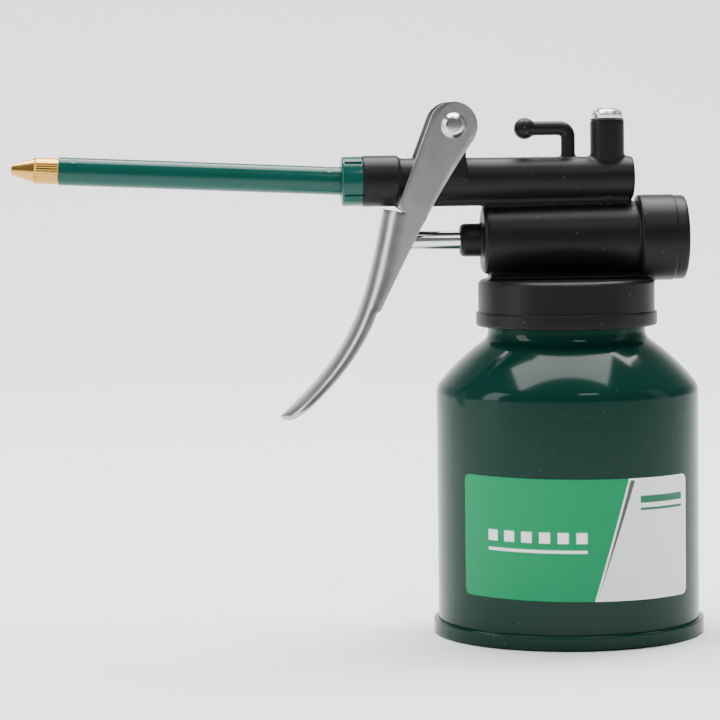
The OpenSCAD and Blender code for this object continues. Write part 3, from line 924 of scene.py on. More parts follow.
@dataclass(frozen=True)
class Finishes:
    """Every material of the object, built once and looked up by name."""

    enamel: bpy.types.Material
    black: bpy.types.Material
    green: bpy.types.Material
    brass: bpy.types.Material
    zinc: bpy.types.Material
    edge: bpy.types.Material
    bright: bpy.types.Material
    screw: bpy.types.Material
    chrome: bpy.types.Material
    wire: bpy.types.Material
    rubber: bpy.types.Material
    clear: bpy.types.Material

    @classmethod
    def build(cls) -> "Finishes":
        """Builds every material.

        Returns:
            The set of finishes.
        """
        even = (1.0, 1.0, 1.0)
        return cls(
            enamel=Enamel().build(),
            black=Moulded(
                "black_plastic", (0.0055, 0.0055, 0.0056), (0.0095, 0.0095, 0.0095), 0.4, 0.018
            ).build(),
            green=Moulded(
                "spout_green_plastic", (0.0012, 0.060, 0.045), (0.002, 0.076, 0.058), 0.2, 0.005,
                coat=0.15, dust=0.15, specular=0.2,
            ).build(),
            brass=Metal(
                "turned_brass", (0.46, 0.24, 0.045), (0.78, 0.48, 0.13), 0.22, (6.0, 0.2, 0.2),
                1.0, 0.006, 0.2,
            ).build(),
            zinc=Metal(
                "zinc_plate", (0.3, 0.32, 0.315), (0.43, 0.45, 0.44), 0.3, even, 3.0, 0.002, 0.4
            ).build(),
            # Cut edges of bare steel, made far brighter than the plate: a painted highlight line along the
            # sheet's rims.
            edge=Metal(
                "cut_edge_painted_highlight", (0.74, 0.75, 0.74), (0.92, 0.93, 0.92), 0.36, even, 2.0, 0.004, 0.2
            ).build(),
            bright=Metal(
                "zinc_rivet", (0.42, 0.44, 0.43), (0.66, 0.67, 0.66), 0.2, even, 1.2, 0.008, 0.4
            ).build(),
            screw=Metal(
                "zinc_screw", (0.58, 0.6, 0.59), (0.82, 0.83, 0.82), 0.22, even, 1.6, 0.006, 0.3
            ).build(),
            chrome=Metal(
                "bright_rod", (0.62, 0.64, 0.65), (0.8, 0.81, 0.82), 0.16, (0.3, 4.0, 4.0), 1.0, 0.001, 0.1
            ).build(),
            wire=Metal("spring_wire", (0.3, 0.3, 0.3), (0.5, 0.5, 0.5), 0.32, even, 2.0, 0.003, 0.2).build(),
            rubber=Soft("rubber", (0.012, 0.012, 0.012), (0.025, 0.025, 0.024), 0.7).build(),
            clear=Soft("tube_plastic", (0.6, 0.64, 0.58), (0.72, 0.75, 0.7), 0.3, 0.7).build(),
        )


# ------------------------------------------------------------------ pieces


@dataclass
class Can:
    """Steel can: drawn body with a threaded neck, seamed bottom, wrap label."""

    finishes: Finishes
    wall_r: float = 37.45
    sheet: float = 0.6
    shoulder_z: float = 68.9
    shoulder_r: float = 5.0
    shoulder_angles: Point = (39.0, 55.0)
    neck_r: float = 22.55
    neck_z: float = 86.5
    neck_fillet: float = 3.6
    lip_r: float = 0.9
    foot_r: float = 38.8
    foot_h: float = 4.3
    panel_z: float = 3.6
    bead: Sequence[Point] = ((26.0, 0.0), (27.4, -0.5), (29.0, -0.5), (30.4, 0.0))
    thread_z: float = 88.4
    thread_r: float = 0.5
    thread_rise: float = 7.0
    thread_turns: float = 2.0
    label_columns: int = 96
    label_rows: int = 28
    label_corner: float = 1.9
    label_h: float = 33.9
    label_film: Point = (0.01, 0.12)
    label_tilt_deg: float = 0.8

    def _shoulder(self, inset: float) -> list[Point]:
        """Radius and height along the shoulder, inset inside the sheet's outer face.

        Args:
            inset: Distance inside the outer face.

        Returns:
            The points, from the wall up to the neck.
        """
        low, high = self.shoulder_angles
        c0 = (self.wall_r - self.shoulder_r, self.shoulder_z)
        c2 = (self.neck_r + self.neck_fillet, self.neck_z)
        lower = arc(c0, self.shoulder_r, 0, low, 12)
        upper = arc(c2, self.neck_fillet, 180 + high, 180, 12)
        p0, p1 = Vector(lower[-1]), Vector(upper[0])
        half = math.radians((high - low) / 2)
        chord = p1 - p0
        big_r = chord.length / 2 / math.sin(half)
        c1 = (p0 + p1) / 2 + Vector((-chord.y, chord.x)).normalized() * big_r * math.cos(half)
        ends = [math.degrees(math.atan2(p.y - c1.y, p.x - c1.x)) for p in (p0, p1)]
        return (
            arc(c0, self.shoulder_r - inset, 0, low, 16)
            + arc((c1.x, c1.y), big_r - inset, ends[0], ends[1], 24)[1:]
            + arc(c2, self.neck_fillet + inset, 180 + high, 180, 16)[1:]
        )

    def body(self) -> bpy.types.Object:
        """Drawn body with shoulder, neck and rolled rim.

        Returns:
            The body.
        """
        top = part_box("can_shell")[1][2] / MM
        foot = self.sheet + 0.3
        outer = [(foot, self.wall_r), (self.foot_h + 1, self.wall_r), (self.shoulder_z * 0.5, self.wall_r)]
        outer += [(z, r) for r, z in self._shoulder(0.0)]
        lip_c = (self.neck_r + 0.6 - self.lip_r, top - self.lip_r)
        lip = [(z, r) for r, z in arc(lip_c, self.lip_r, -70, 100, 14)]
        inner_r = self.neck_r - self.sheet
        inner = [(top, inner_r + 0.3), (top - 0.3, inner_r)]
        inner += [(z, r) for r, z in reversed(self._shoulder(self.sheet))]
        inner += [(self.shoulder_z * 0.5, self.wall_r - self.sheet), (foot, self.wall_r - self.sheet)]
        return lathe("can_body", outer + lip + inner, closed=True)

    def thread(self) -> bpy.types.Object:
        """Rolled thread on the neck, under the cap.

        Returns:
            The thread.
        """
        obj = wire_coil(
            "neck_thread", self.finishes.enamel, self.thread_turns, (self.neck_r - 0.05) * MM,
            self.thread_r * MM, self.thread_rise * MM,
        )
        obj.data.transform(Matrix.Translation((0, 0, self.thread_z * MM)))
        return obj

    def base(self) -> bpy.types.Object:
        """Bottom panel with its hem seamed round the foot, and a stiffening bead.

        Returns:
            The base.
        """
        wall = self.wall_r - 2 * self.sheet - 0.05
        under = [(self.panel_z, 0.0, 0.0)] + [(self.panel_z + dz, r, 0.5) for r, dz in self.bead]
        hem = [
            (self.panel_z, wall, 0.5), (0.0, wall, 0.35), (0.0, self.foot_r, 1.3),
            (self.foot_h, self.foot_r, 0.7),
            (self.foot_h, self.wall_r + 0.05, 0.0), (self.foot_h - 0.6, self.wall_r + 0.05, 0.0),
            (self.foot_h - 0.6, self.foot_r - self.sheet, 0.2), (self.sheet, self.foot_r - self.sheet, 0.4),
            (self.sheet, wall + self.sheet, 0.2), (self.panel_z + self.sheet, wall + self.sheet, 0.5),
        ]
        over = [(self.panel_z + self.sheet + dz, r, 0.5) for r, dz in reversed(self.bead)]
        over += [(self.panel_z + self.sheet, 0.0, 0.0)]
        return lathe("can_bottom", rounded(under + hem + over))

    def label(self) -> bpy.types.Object:
        """Wrap label: a thin curved patch with round corners and its own UV map.

        Returns:
            The label.
        """
        low, high = (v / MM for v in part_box("front_label"))
        left, right = (math.asin(abs(x) / (self.wall_r + self.label_film[1])) for x in (low.x, high.x))
        width, height = (left + right) * self.wall_r, self.label_h
        foot = (low.z + high.z - height) / 2
        slope = math.tan(math.radians(self.label_tilt_deg))
        bm = bmesh.new()
        uv = bm.loops.layers.uv.new("print")
        sheets = []
        spots: dict[bmesh.types.BMVert, Point] = {}
        for lift in self.label_film:
            radius = self.wall_r + lift
            grid = []
            for i in range(self.label_columns + 1):
                across = self._eased(i / self.label_columns, width)
                past = max(0.0, self.label_corner - min(across, width - across))
                cut = self.label_corner - math.sqrt(max(0.0, self.label_corner**2 - past**2))
                angle = across / self.wall_r - left
                sink = slope * (across - width / 2)
                column = []
                for j in range(self.label_rows + 1):
                    z = foot + cut + (height - 2 * cut) * j / self.label_rows
                    spot = Vector((radius * math.sin(angle), -radius * math.cos(angle), z - sink))
                    vert = bm.verts.new(spot * MM)
                    spots[vert] = (across / width, (z - foot) / height)
                    column.append(vert)
                grid.append(column)
            sheets.append(grid)
        inner, outer = sheets
        faces = []
        for grid in (inner, outer):
            for i in range(self.label_columns):
                for j in range(self.label_rows):
                    faces.append([grid[i][j], grid[i + 1][j], grid[i + 1][j + 1], grid[i][j + 1]])
        rim = [(i, 0) for i in range(self.label_columns)]
        rim += [(self.label_columns, j) for j in range(self.label_rows)]
        rim += [(i, self.label_rows) for i in range(self.label_columns, 0, -1)]
        rim += [(0, j) for j in range(self.label_rows, 0, -1)]
        for (a, b), (c, d) in zip(rim, rim[1:] + rim[:1]):
            faces.append([inner[a][b], inner[c][d], outer[c][d], outer[a][b]])
        for corners in faces:
            face = bm.faces.new(corners)
            for loop in face.loops:
                loop[uv].uv = spots[loop.vert]
        obj = finish_mesh("label", bm)
        obj.data.materials.append(Print(width, height).build())
        return obj

    @staticmethod
    def _eased(t: float, width: float) -> float:
        """Distance across the label at t, with columns set closer at both ends."""
        return width * (t - math.sin(math.tau * t) / math.tau * 0.8)

    def build(self) -> None:
        """Builds and seats every piece of the can."""
        enamel = self.finishes.enamel
        place(self.body(), Body.CAN, "can_enamel", ["can_shell"], enamel)
        place(self.thread(), Body.CAN, "can_enamel", [], enamel)
        place(self.base(), Body.CAN, "can_enamel", ["can_base"], enamel)
        place(self.label(), Body.CAN, "label_print", ["front_label"], enamel)


@dataclass
class PumpHead:
    """Moulded head with its cap, rear plug and outlet screw."""

    finishes: Finishes
    voxel: float = 0.42
    smooth_steps: int = 5
    keep: float = 0.62
    cap_r: float = 25.15
    ring_r: float = 25.85
    ring_h: float = 3.9
    bore_r: float = 23.5
    cut_z: float = 98.2
    skirt_top: float = 100.2
    nipple_x: float = 6.0
    nipple_r: Point = (3.6, 5.22)
    pump_z: float = 112.6
    plug_stem_r: float = 9.15
    plug_disc: float = 3.45
    outlet_x: float = 12.05
    screw_r: float = 2.45
    screw_head: float = 3.0
    slot: Corner = (11.0, 1.15, 2.6)
    slot_turn_deg: float = 38.0

    def moulding(self) -> bpy.types.Object:
        """Upper moulding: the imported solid, remeshed so that every junction is blended.

        Returns:
            The moulding.
        """
        bm = bmesh.new()
        bm.from_mesh(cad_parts["pump_head"].data)
        bmesh.ops.remove_doubles(bm, verts=bm.verts, dist=1e-6)
        whole = bm.verts[:] + bm.edges[:] + bm.faces[:]
        cut = bmesh.ops.bisect_plane(
            bm, geom=whole, plane_co=(0, 0, self.cut_z * MM), plane_no=(0, 0, 1), clear_inner=True
        )
        edges = [e for e in cut["geom_cut"] if isinstance(e, bmesh.types.BMEdge)]
        bmesh.ops.triangle_fill(bm, edges=edges, use_beauty=True)
        obj = finish_mesh("head_upper", bm, 180)
        remesh = obj.modifiers.new("Remesh", "REMESH")
        remesh.mode = "VOXEL"
        remesh.voxel_size = self.voxel * MM
        smooth = obj.modifiers.new("Smooth", "SMOOTH")
        smooth.factor = 0.5
        smooth.iterations = self.smooth_steps
        thin = obj.modifiers.new("Decimate", "DECIMATE")
        thin.ratio = self.keep
        apply_modifiers(obj)
        for poly in obj.data.polygons:
            poly.use_smooth = True
        return obj

    def skirt(self) -> bpy.types.Object:
        """Cap's skirt with its lower ring.

        Returns:
            The skirt.
        """
        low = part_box("pump_head")[0][2] / MM
        step = low + self.ring_h
        outline = rounded(
            [
                (low, self.bore_r - 0.05, 0.3), (low, self.ring_r, 0.7), (step, self.ring_r, 0.45),
                (step + 0.1, self.cap_r + 0.02, 0.25), (self.skirt_top, self.cap_r + 0.02, 0.05),
                (self.skirt_top, self.bore_r - 0.05, 0.05),
            ],
            closed=True,
        )
        return lathe("cap_skirt", outline, closed=True)

    def nipple(self) -> bpy.types.Object:
        """Nipple under the cap's roof that takes the inlet seat.

        Returns:
            The nipple.
        """
        inner, outer = self.nipple_r
        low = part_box("inlet_seat")[1][2] / MM - 5.9
        outline = [(low, inner), (low, outer), (self.cut_z + 0.4, outer), (self.cut_z + 0.4, inner)]
        return lathe("nipple", outline, Axis.Z, (self.nipple_x * MM, 0, 0), closed=True)

    def rear_plug(self) -> bpy.types.Object:
        """Threaded plug with a rounded rim and a recessed face.

        Returns:
            The plug.
        """
        low, high = (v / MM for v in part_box("rear_plug"))
        radius = (high.z - low.z) / 2
        seat = high.x - self.plug_disc
        outline = rounded(
            [
                (low.x, 0.0, 0.0), (low.x, self.plug_stem_r, 0.4), (seat, self.plug_stem_r, 0.1),
                (seat, radius, 0.12), (high.x, radius, 1.5), (high.x, radius - 2.6, 0.3),
                (high.x - 0.5, radius - 3.1, 0.3), (high.x - 0.5, 0.0, 0.0),
            ]
        )
        return lathe("rear_plug_disc", outline, Axis.X, (0, 0, self.pump_z * MM))

    def screw(self) -> bpy.types.Object:
        """Pan-head screw with two crossing slots.

        Returns:
            The screw.
        """
        low, high = (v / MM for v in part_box("outlet_screw"))
        radius = (high.x - low.x) / 2
        seat = high.z - self.screw_head
        outline = rounded(
            [
                (low.z, 0.0, 0.0), (low.z, self.screw_r, 0.4), (seat, self.screw_r, 0.1),
                (seat, radius - 0.15, 0.3),
                (seat + 1.3, radius, 0.6), (seat + 2.35, radius - 0.75, 1.1), (high.z, radius - 2.3, 1.8),
                (high.z, 0.0, 0.0),
            ]
        )
        obj = lathe("outlet_screw_head", outline, Axis.Z, (self.outlet_x * MM, 0, 0))
        bm = bmesh.new()
        spot = Matrix.Translation((self.outlet_x * MM, 0, high.z * MM))
        spot = spot @ Matrix.Rotation(math.radians(self.slot_turn_deg), 4, "Z")
        long, across, deep = self.slot
        for size in ((long, across, deep), (across, long, deep)):
            bmesh.ops.create_cube(bm, size=1.0, matrix=spot @ Matrix.Diagonal((*(s * MM for s in size), 1)))
        cutter = finish_mesh("cutter", bm)
        cut = obj.modifiers.new("Cut", "BOOLEAN")
        cut.object = cutter
        cut.solver = "EXACT"
        cut.use_self = True
        bevel(obj, 0.1, 2, 40)
        apply_modifiers(obj)
        bpy.data.objects.remove(cutter)
        return obj

    def build(self) -> None:
        """Builds and seats every piece of the head."""
        black = self.finishes.black
        whole = join("head_moulding", [self.moulding(), self.skirt(), self.nipple()])
        place(whole, Body.HEAD, "black_plastic", ["pump_head"], black)
        place(self.rear_plug(), Body.HEAD, "black_plastic", ["rear_plug"], black)
        place(self.screw(), Body.HEAD, "zinc_screw", ["outlet_screw"], self.finishes.screw)


@dataclass
class Trigger:
    """Pressed steel channel with two eyes, its rivet, and the plunger rod."""

    finishes: Finishes
    plate: float = 1.2
    edge_bevel: float = 0.38
    bend: Point = (7.0, 6.3)
    bend_share: float = 0.88
    eye_r: float = 6.8
    pivot: Point = (-32.55, 145.15)
    web: Sequence[Point] = ((-52.17, 121.8), (-57.74, 94.13), (-60.76, 82.14), (-82.24, 63.24))
    inner: Sequence[Point] = ((-26.9, 141.2), (-36.9, 127.5), (-46.5, 108.5), (-54.1, 92.5))
    cut_back: Point = (-48.49, 122.4)
    notch: float = 0.47
    trough: Point = (4.6, 3.2)
    tip_back: float = 8.3
    rows: int = 64
    columns: int = 8
    eye_angles: Point = (156.0, -36.0)
    rivet_r: float = 2.0
    rivet_head: float = 1.9
    rod_shoulder_x: float = -19.4
    rod_thread_r: float = 2.0

    def _depth(self, t: float) -> float:
        """Distance from the outer curve to the side plate's edge at t.

        Args:
            t: Place along the outer curve, from 0 to 1.

        Returns:
            The distance.
        """
        start, normal = bezier(self.web, t), bezier_normal(self.web, t)
        deep, shallow = self.trough
        if t >= self.notch:
            return deep + (shallow - deep) * (t - self.notch) / (1 - self.notch)
        best = deep
        for i in range(120):
            p = bezier(self.inner, i / 120) - start
            q = bezier(self.inner, (i + 1) / 120) - start
            side_p, side_q = normal.x * p.y - normal.y * p.x, normal.x * q.y - normal.y * q.x
            if side_p * side_q <= 0 and p.dot(normal) > 0:
                best = p.dot(normal)
        return best

    def _row(self, t: float, half: float) -> list[Vector]:
        """Points of the channel's section at t, from the near rim to the far one.

        Args:
            t: Place along the outer curve, from 0 to 1.
            half: Half of the channel's width.

        Returns:
            The points.
        """
        start, normal = bezier(self.web, t), bezier_normal(self.web, t)
        run = self._length_to_tip(t)
        wide, depth = half, self._depth(t)
        if run < self.tip_back:
            part = max(0.0, 1 - (1 - run / self.tip_back) ** 2)
            wide = max(0.35, half * math.sqrt(part))
            depth = max(self.plate, depth * (0.42 + 0.58 * math.sqrt(part)))
        across = min(self.bend[0], wide * 0.9)
        deep = min(self.bend[1], depth * self.bend_share)
        corner = [(across * (1 - math.cos(a)), deep * (1 - math.sin(a))) for a in self._quarter()]
        flat = wide - across
        points = [(-wide, depth + (deep - depth) * i / self.columns) for i in range(self.columns)]
        points += [(y - wide, d) for y, d in corner]
        points += [(flat * (i / 4 - 1), 0.0) for i in range(1, 8)]
        points += [(wide - y, d) for y, d in reversed(corner)]
        points += [(wide, deep + (depth - deep) * i / self.columns) for i in range(1, self.columns + 1)]
        return [Vector((start.x + normal.x * d, y, start.y + normal.y * d)) for y, d in points]

    @staticmethod
    def _quarter() -> list[float]:
        """Angles of the bend's quarter turn, in radians."""
        return [math.pi / 2 * i / 10 for i in range(11)]

    def _length_to_tip(self, t: float) -> float:
        """Length of the outer curve from t to its end."""
        points = [bezier(self.web, t + (1 - t) * i / 24) for i in range(25)]
        return sum((q - p).length for p, q in zip(points, points[1:]))

    def _eye_rows(self, half: float) -> list[tuple[Vector, Vector]]:
        """Left and right ends of the side plate's rows, from the web's top up round the eye.

        Args:
            half: Half of the channel's width; not used.

        Returns:
            The pairs of ends.
        """
        eye = Vector(self.pivot)
        left = [Vector(self.cut_back)]
        left_angle, right_angle = self.eye_angles
        tangent = Vector(arc(self.pivot, self.eye_r, left_angle, left_angle, 1)[0])
        left += [left[0].lerp(tangent, i / 12) for i in range(1, 13)]
        right = [bezier(self.inner, self._inner_top() * (1 - i / 12)) for i in range(13)]
        sweep = [(i + 1) / 14 for i in range(14)]
        middle = (left_angle + right_angle) / 2
        for s in sweep:
            ease = math.sin(s * math.pi / 2)
            for side, start in ((left, left_angle), (right, right_angle)):
                angle = math.radians(start + (middle - start) * ease)
                side.append(eye + Vector((math.cos(angle), math.sin(angle))) * self.eye_r)
        return list(zip(left, right))

    def _inner_top(self) -> float:
        """Parameter of the inner edge where the web's first row meets it."""
        target = bezier(self.web, 0.0) + bezier_normal(self.web, 0.0) * self._depth(0.0)
        return min((i / 200 for i in range(201)), key=lambda t: (bezier(self.inner, t) - target).length)

    def channel(self) -> bpy.types.Object:
        """Pressed channel as one folded sheet; its cut edges take a much brighter finish, a painted highlight
        line along the rims.

        Returns:
            The trigger.
        """
        low, high = (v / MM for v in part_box("trigger"))
        half = (high.y - low.y) / 2
        bm = bmesh.new()
        rows = [[bm.verts.new(p * MM) for p in self._row(i / self.rows, half)] for i in range(self.rows + 1)]
        for a, b in zip(rows, rows[1:]):
            for p, q, r, s in zip(a, a[1:], b[1:], b):
                bm.faces.new((p, q, r, s))
        for side in (-1, 1):
            first = rows[0][: self.columns + 1] if side < 0 else rows[0][-self.columns - 1:][::-1]
            last = list(first)
            for left, right in self._eye_rows(half):
                row = []
                for i in range(self.columns + 1):
                    spot = right.lerp(left, i / self.columns)
                    row.append(bm.verts.new(Vector((spot.x, side * half, spot.y)) * MM))
                for p, q, r, s in zip(last, last[1:], row[1:], row):
                    bm.faces.new((p, q, r, s))
                last = row
        obj = finish_mesh("trigger_channel", bm, 60)
        for material in (self.finishes.zinc, self.finishes.edge):
            obj.data.materials.append(material)
        wall = obj.modifiers.new("Wall", "SOLIDIFY")
        wall.thickness = self.plate * MM
        wall.offset = -1.0
        wall.use_even_offset = True
        # Rim faces take the brighter cut-edge finish, which paints a highlight line along the edges.
        wall.material_offset_rim = 1
        bevel(obj, self.edge_bevel, 3, 50).material = 1
        return apply_modifiers(obj)

    def rivet(self) -> bpy.types.Object:
        """Rivet with a domed head on each side and a small set flat.

        Returns:
            The rivet.
        """
        low, high = (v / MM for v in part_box("trigger_rivet"))
        radius, reach, face = (high.x - low.x) / 2, high.y, high.y - self.rivet_head
        half = [
            (0.0, self.rivet_r, 0.0), (face, self.rivet_r, 0.1), (face, radius, 0.2),
            (face + 0.35, radius, 0.25),
            (reach - 0.1, radius * 0.62, 1.6), (reach, 0.6, 0.5), (reach, 0.0, 0.0),
        ]
        outline = [(-a, r, f) for a, r, f in reversed(half)] + half[1:]
        return lathe("rivet", rounded(outline), Axis.Y, (self.pivot[0] * MM, 0, self.pivot[1] * MM))

    def rod(self) -> bpy.types.Object:
        """Plunger rod with a domed front end and a thread for the piston.

        Returns:
            The rod.
        """
        low, high = (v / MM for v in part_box("plunger_rod"))
        radius, shoulder, thread = (high.z - low.z) / 2, self.rod_shoulder_x, self.rod_thread_r
        outline = rounded(
            [
                (low.x, 0.0, 0.0), (low.x, radius * 0.5, 1.2), (low.x + 1.1, radius, 0.8),
                (shoulder, radius, 0.1), (shoulder, thread, 0.1), (high.x, thread, 0.3), (high.x, 0.0, 0.0),
            ]
        )
        return lathe("rod", outline, Axis.X, (0, 0, (low.z + high.z) / 2 * MM))

    def build(self) -> None:
        """Builds and seats the trigger, its rivet and the rod."""
        place(self.channel(), Body.TRIGGER, "zinc_trigger", ["trigger"], self.finishes.zinc)
        place(self.rivet(), Body.HEAD, "zinc_rivet", ["trigger_rivet"], self.finishes.bright)
        place(self.rod(), Body.PLUNGER, "chrome_steel", ["plunger_rod"], self.finishes.chrome)


@dataclass
class Spout:
    """Nut, rigid spout and knurled brass nozzle."""

    finishes: Finishes
    barrel_z: float = 129.75
    origin_x: float = -61.4
    tilt_deg: float = 2.8
    tube_r: Point = (2.4, 4.0)
    length: float = 82.4
    flange: Point = (5.5, 1.3)
    mark_r: float = 1.25
    marks: Sequence[float] = (6.2, 78.4)
    mark_turn_deg: float = -38.0
    mark_lift: float = 0.03
    nut_r: float = 7.05
    nut_bore_r: float = 5.58
    nut_wall: float = 1.35
    rib: Point = (1.1, 0.5)
    rib_phase_deg: float = -8.0
    knurl_r: float = 4.0
    knurl_len: float = 6.8
    knurl_depth: float = 0.36
    stem_len: float = 7.0
    teeth: int = 34
    cone_len: float = 6.5
    face_r: float = 1.5
    orifice_r: float = 0.75

    def _frame(self) -> Matrix:
        """Turn of the tilted spout, with +Z towards the nozzle."""
        return Matrix.Rotation(math.radians(self.tilt_deg - 90), 4, "Y")

    def _origin(self) -> tuple[float, float, float]:
        """Point where the spout's axis leaves the delivery tube, in metres."""
        return (self.origin_x * MM, 0.0, self.barrel_z * MM)

    def tube(self) -> bpy.types.Object:
        """Spout tube with its flange and two ejector marks.

        Returns:
            The tube.
        """
        inner, outer = self.tube_r
        flange_r, flange_t = self.flange
        bm = bmesh.new()
        wall = rounded(
            [(0.6, inner, 0), (0.6, outer, 0), (self.length, outer, 0.15), (self.length, inner, 0)],
            closed=True,
        )
        add_lathe(bm, wall, centre=self._origin(), closed=True, turn=self._frame())
        disc = [(-flange_t, inner), (-flange_t, flange_r), (0, flange_r), (0, inner)]
        add_lathe(bm, disc, Axis.X, self._origin(), closed=True)
        face = outer + self.mark_lift
        button = rounded(
            [(outer - 0.8, 0, 0), (outer - 0.8, self.mark_r, 0), (face, self.mark_r, 0.05), (face, 0, 0)]
        )
        turned = Matrix.Rotation(math.radians(self.mark_turn_deg), 4, "Z")
        turned = turned @ Matrix.Rotation(math.radians(90), 4, "Y")
        for along in self.marks:
            up = Matrix.Translation(Vector(self._origin())) @ self._frame()
            add_lathe(bm, button, turn=up @ Matrix.Translation((0, 0, along * MM)) @ turned, steps=40)
        return finish_mesh("spout_pipe", bm, 30)

    def nut(self) -> bpy.types.Object:
        """Nut with its four gripping ribs.

        Returns:
            The nut.
        """
        low, high = (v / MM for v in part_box("spout_nut"))
        width, height = self.rib
        hole, seat = self.tube_r[1] + 0.35, low.x + self.nut_wall
        outline = rounded(
            [
                (low.x, hole, 0.0), (low.x, self.nut_r, 1.1), (high.x, self.nut_r, 0.15),
                (high.x, self.nut_bore_r, 0.0), (seat, self.nut_bore_r, 0.0), (seat, hole, 0.0),
            ],
            closed=True,
        )
        body = lathe("nut_body", outline, Axis.X, (0, 0, self.barrel_z * MM), closed=True)
        body.data.materials.append(self.finishes.green)
        phase = math.radians(135 + self.rib_phase_deg)
        ribs = ridge_ring(
            "nut_ribs", self.finishes.green, 4, (self.nut_r + height - width / 2) * MM, width * MM,
            (high.x - low.x - 1.0) * MM, phase, 0.0,
        )
        ribs.data.transform(Matrix.Translation(((low.x + 0.8) * MM, 0, self.barrel_z * MM)) @ Axis.X.value)
        return join("spout_nut_ribbed", [body, ribs])

    def nozzle(self) -> bpy.types.Object:
        """Brass nozzle: threaded stem, knurled grip and cone with its outlet.

        Returns:
            The nozzle.
        """
        start = self.length + 0.02
        core = self.knurl_r - self.knurl_depth
        stem, stem_r = self.length - self.stem_len, self.tube_r[0] - 0.02
        grip = start + self.knurl_len
        end = grip + self.cone_len
        outline = rounded(
            [
                (stem, self.orifice_r, 0), (stem, stem_r, 0.2), (start, stem_r, 0), (start, core - 0.1, 0.1),
                (start + 0.35, core, 0.1), (grip - 0.35, core, 0.1), (grip, core - 0.25, 0.15),
                (end, self.face_r, 0.12), (end, self.orifice_r, 0.1),
            ],
            closed=True,
        )
        origin = self._origin()
        body = lathe("nozzle_body", outline, centre=origin, closed=True, turn=self._frame(), sharp_deg=25)
        body.data.materials.append(self.finishes.brass)
        pitch = math.tau * core / self.teeth
        bar = pitch * 0.98 / math.sqrt(2)
        teeth = ridge_ring(
            "knurl", self.finishes.brass, self.teeth, (self.knurl_r - pitch * 0.49) * MM, bar * MM,
            self.knurl_len * MM, 0.0, 45.0,
        )
        for vert in teeth.data.vertices:
            if min(vert.co.z, self.knurl_len * MM - vert.co.z) < 1e-6:
                vert.co.xy *= 1 - 0.3 / self.knurl_r
        teeth.data.transform(
            Matrix.Translation(Vector(origin)) @ self._frame() @ Matrix.Translation((0, 0, start * MM))
        )
        return join("nozzle_knurled", [body, teeth])

    def build(self) -> None:
        """Builds and seats the spout's pieces."""
        place(self.tube(), Body.SPOUT, "spout_plastic", ["spout_tube"], self.finishes.green)
        place(self.nut(), Body.NUT, "spout_plastic", ["spout_nut"], self.finishes.green)
        place(self.nozzle(), Body.SPOUT, "brass", ["nozzle_tip"], self.finishes.brass)


@dataclass
class Inside:
    """Springs, valves, piston and seals: the hidden pieces."""

    finishes: Finishes

    def return_spring(self) -> None:
        """Coil that pushes the piston back, built at its rest length; the real one shortens as the trigger is
        pulled.
        """
        low, high = (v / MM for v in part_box("return_spring"))
        wire = 0.6
        radius = (high.z - low.z) / 2 - wire
        span = high.x - low.x - 2 * wire
        obj = wire_coil("return_coil", self.finishes.wire, 9.0, radius * MM, wire * MM, span * MM)
        start = Matrix.Translation(((low.x + wire) * MM, 0, (low.z + high.z) / 2 * MM))
        obj.data.transform(start @ Axis.X.value)
        place(obj, Body.HEAD, "spring_steel", ["return_spring"], self.finishes.wire)
        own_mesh(obj)

    def outlet_spring(self) -> None:
        """Coil over the outlet ball, built at its rest length; the real one shortens as the ball lifts."""
        low, high = (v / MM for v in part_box("outlet_spring"))
        wire = 0.25
        centre = (low + high) / 2
        span = high.z - low.z - 2 * wire
        obj = wire_coil("outlet_coil", self.finishes.wire, 7.0, 1.7 * MM, wire * MM, span * MM)
        obj.data.transform(Matrix.Translation((centre.x * MM, 0, (low.z + wire) * MM)))
        place(obj, Body.HEAD, "spring_steel", ["outlet_spring"], self.finishes.wire)
        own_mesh(obj)

    def dress(self) -> None:
        """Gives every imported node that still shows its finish."""
        f = self.finishes
        looks = {
            "neck_gasket": f.rubber, "rod_seal": f.rubber, "piston_seal": f.rubber,
            "rear_plug_seal": f.rubber, "spout_seal": f.rubber, "outlet_washer": f.rubber,
            "seal_washer": f.screw, "piston_nut": f.screw, "piston": f.black, "inlet_seat": f.brass,
            "inlet_ball": f.chrome, "outlet_ball": f.chrome, "dip_tube": f.clear,
        }
        for node, material in looks.items():
            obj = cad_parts[node]
            obj.data.materials.clear()
            obj.data.materials.append(material)
            LOG.info("dressed %s with %s", node, material.name)

    def build(self) -> None:
        """Builds and dresses the hidden pieces."""
        self.return_spring()
        self.outlet_spring()
        self.dress()


@dataclass(frozen=True)
class Lamp:
    """Soft box: its name, its place and size in metres, and its power in watts."""

    name: str
    at: Sequence[float]
    size: Point
    watts: float


LAMPS = (
    Lamp("left_box", (-1.1, -0.25, 0.5), (0.35, 0.9), 6.0),
    Lamp("right_box", (1.1, -0.15, 0.45), (0.3, 0.9), 0.8),
    Lamp("top_box", (-0.05, 0.1, 1.2), (1.1, 0.6), 24.0),
    Lamp("front_window", (0.25, -0.9, 1.1), (0.34, 0.2), 2.5),
    Lamp("back_wash", (0.0, 0.75, 1.6), (2.2, 0.5), 60.0),
)


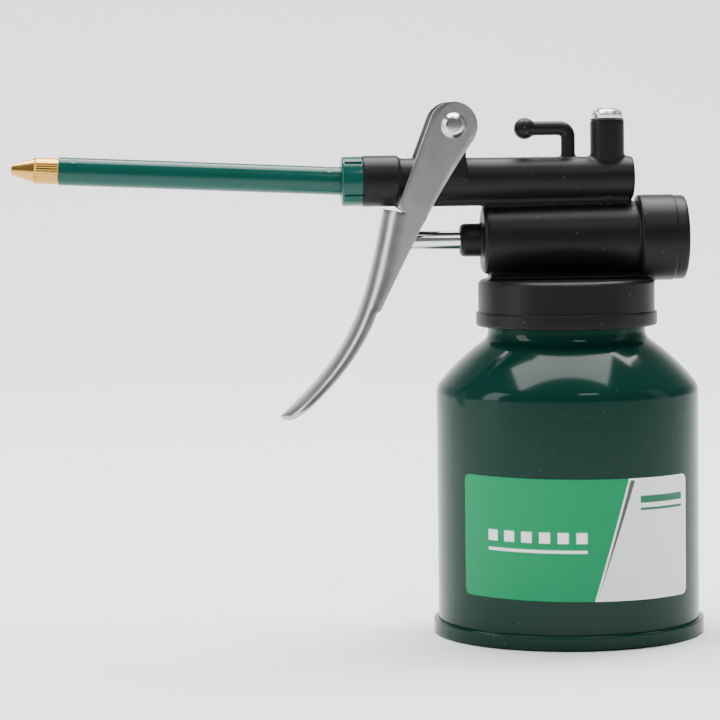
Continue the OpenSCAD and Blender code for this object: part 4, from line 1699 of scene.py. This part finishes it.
@dataclass
class Studio:
    """Camera, pale sweep and soft lights."""

    target: Sequence[float] = (-0.0593, 0.0, 0.0789)
    distance: float = 0.87
    lens: float = 152.6
    yaw_deg: float = 3.6
    pitch_deg: float = 4.46
    roll_deg: float = 0.75

    def camera(self) -> None:
        """Camera at the viewing angle, looking slightly down."""
        yaw, pitch = math.radians(self.yaw_deg), math.radians(self.pitch_deg)
        back = Vector((-math.sin(yaw) * math.cos(pitch), -math.cos(yaw) * math.cos(pitch), math.sin(pitch)))
        data = bpy.data.cameras.new("camera")
        data.lens = self.lens
        data.sensor_width = 36.0
        data.clip_start, data.clip_end = 0.05, 20.0
        obj = linked("camera", data)
        obj.location = Vector(self.target) + back * self.distance
        facing = (-back).to_track_quat("-Z", "Y").to_matrix().to_4x4()
        roll = Matrix.Rotation(math.radians(-self.roll_deg), 4, "Z")
        obj.matrix_world = Matrix.Translation(obj.location) @ facing @ roll
        bpy.context.scene.camera = obj

    def sweep(self) -> None:
        """Pale floor that curves up into a backdrop."""
        bm = bmesh.new()
        half, back, rise, radius = 6.0, 1.6, 2.6, 0.9
        path = [(-half, 0.0), (back - radius, 0.0)]
        path += [(back - radius + radius * math.sin(a), radius * (1 - math.cos(a)))
                 for a in (math.pi / 2 * i / 16 for i in range(1, 17))]
        path += [(back, rise)]
        rows = [[bm.verts.new((x, y, z)) for x in (-half, half)] for y, z in path]
        for a, b in zip(rows, rows[1:]):
            bm.faces.new((a[0], a[1], b[1], b[0]))
        mesh = bpy.data.meshes.new("sweep")
        bm.to_mesh(mesh)
        bm.free()
        for poly in mesh.polygons:
            poly.use_smooth = True
        obj = linked("sweep", mesh)
        paint = Paint("pale_floor")
        cloud = paint.noise(paint.where(), 0.002, 2.0)
        shade = paint.mix(cloud, (0.86, 0.86, 0.86), (0.88, 0.88, 0.88))
        mesh.materials.append(paint.finish(Base_Color=shade, Roughness=0.9))

    def light(self, lamp: Lamp) -> None:
        """Soft box aimed at the middle of the object.

        Args:
            lamp: Its name, place, size and power.
        """
        data = bpy.data.lights.new(lamp.name, "AREA")
        data.shape = "RECTANGLE"
        data.size, data.size_y = lamp.size
        data.energy = lamp.watts
        obj = linked(lamp.name, data)
        obj.location = lamp.at
        aim = Vector(self.target) - obj.location
        obj.rotation_euler = aim.to_track_quat("-Z", "Y").to_euler()

    def build(self) -> None:
        """Builds the sweep, the lights and the sky."""
        self.sweep()
        for lamp in LAMPS:
            self.light(lamp)
        world = bpy.data.worlds.new("sky")
        bpy.context.scene.world = world
        world.use_nodes = True
        sky = world.node_tree.nodes["Background"].inputs
        sky["Color"].default_value = (0.9, 0.92, 0.94, 1.0)
        sky["Strength"].default_value = 0.22


def main() -> None:
    """Builds the object round its frame, then the studio."""
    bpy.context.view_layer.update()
    finishes = Finishes.build()
    studio = Studio()
    studio.camera()
    for assembly in (Can(finishes), PumpHead(finishes), Trigger(finishes), Spout(finishes), Inside(finishes)):
        LOG.info("building %s", type(assembly).__name__)
        assembly.build()
    studio.build()


if __name__ == "__main__":
    main()
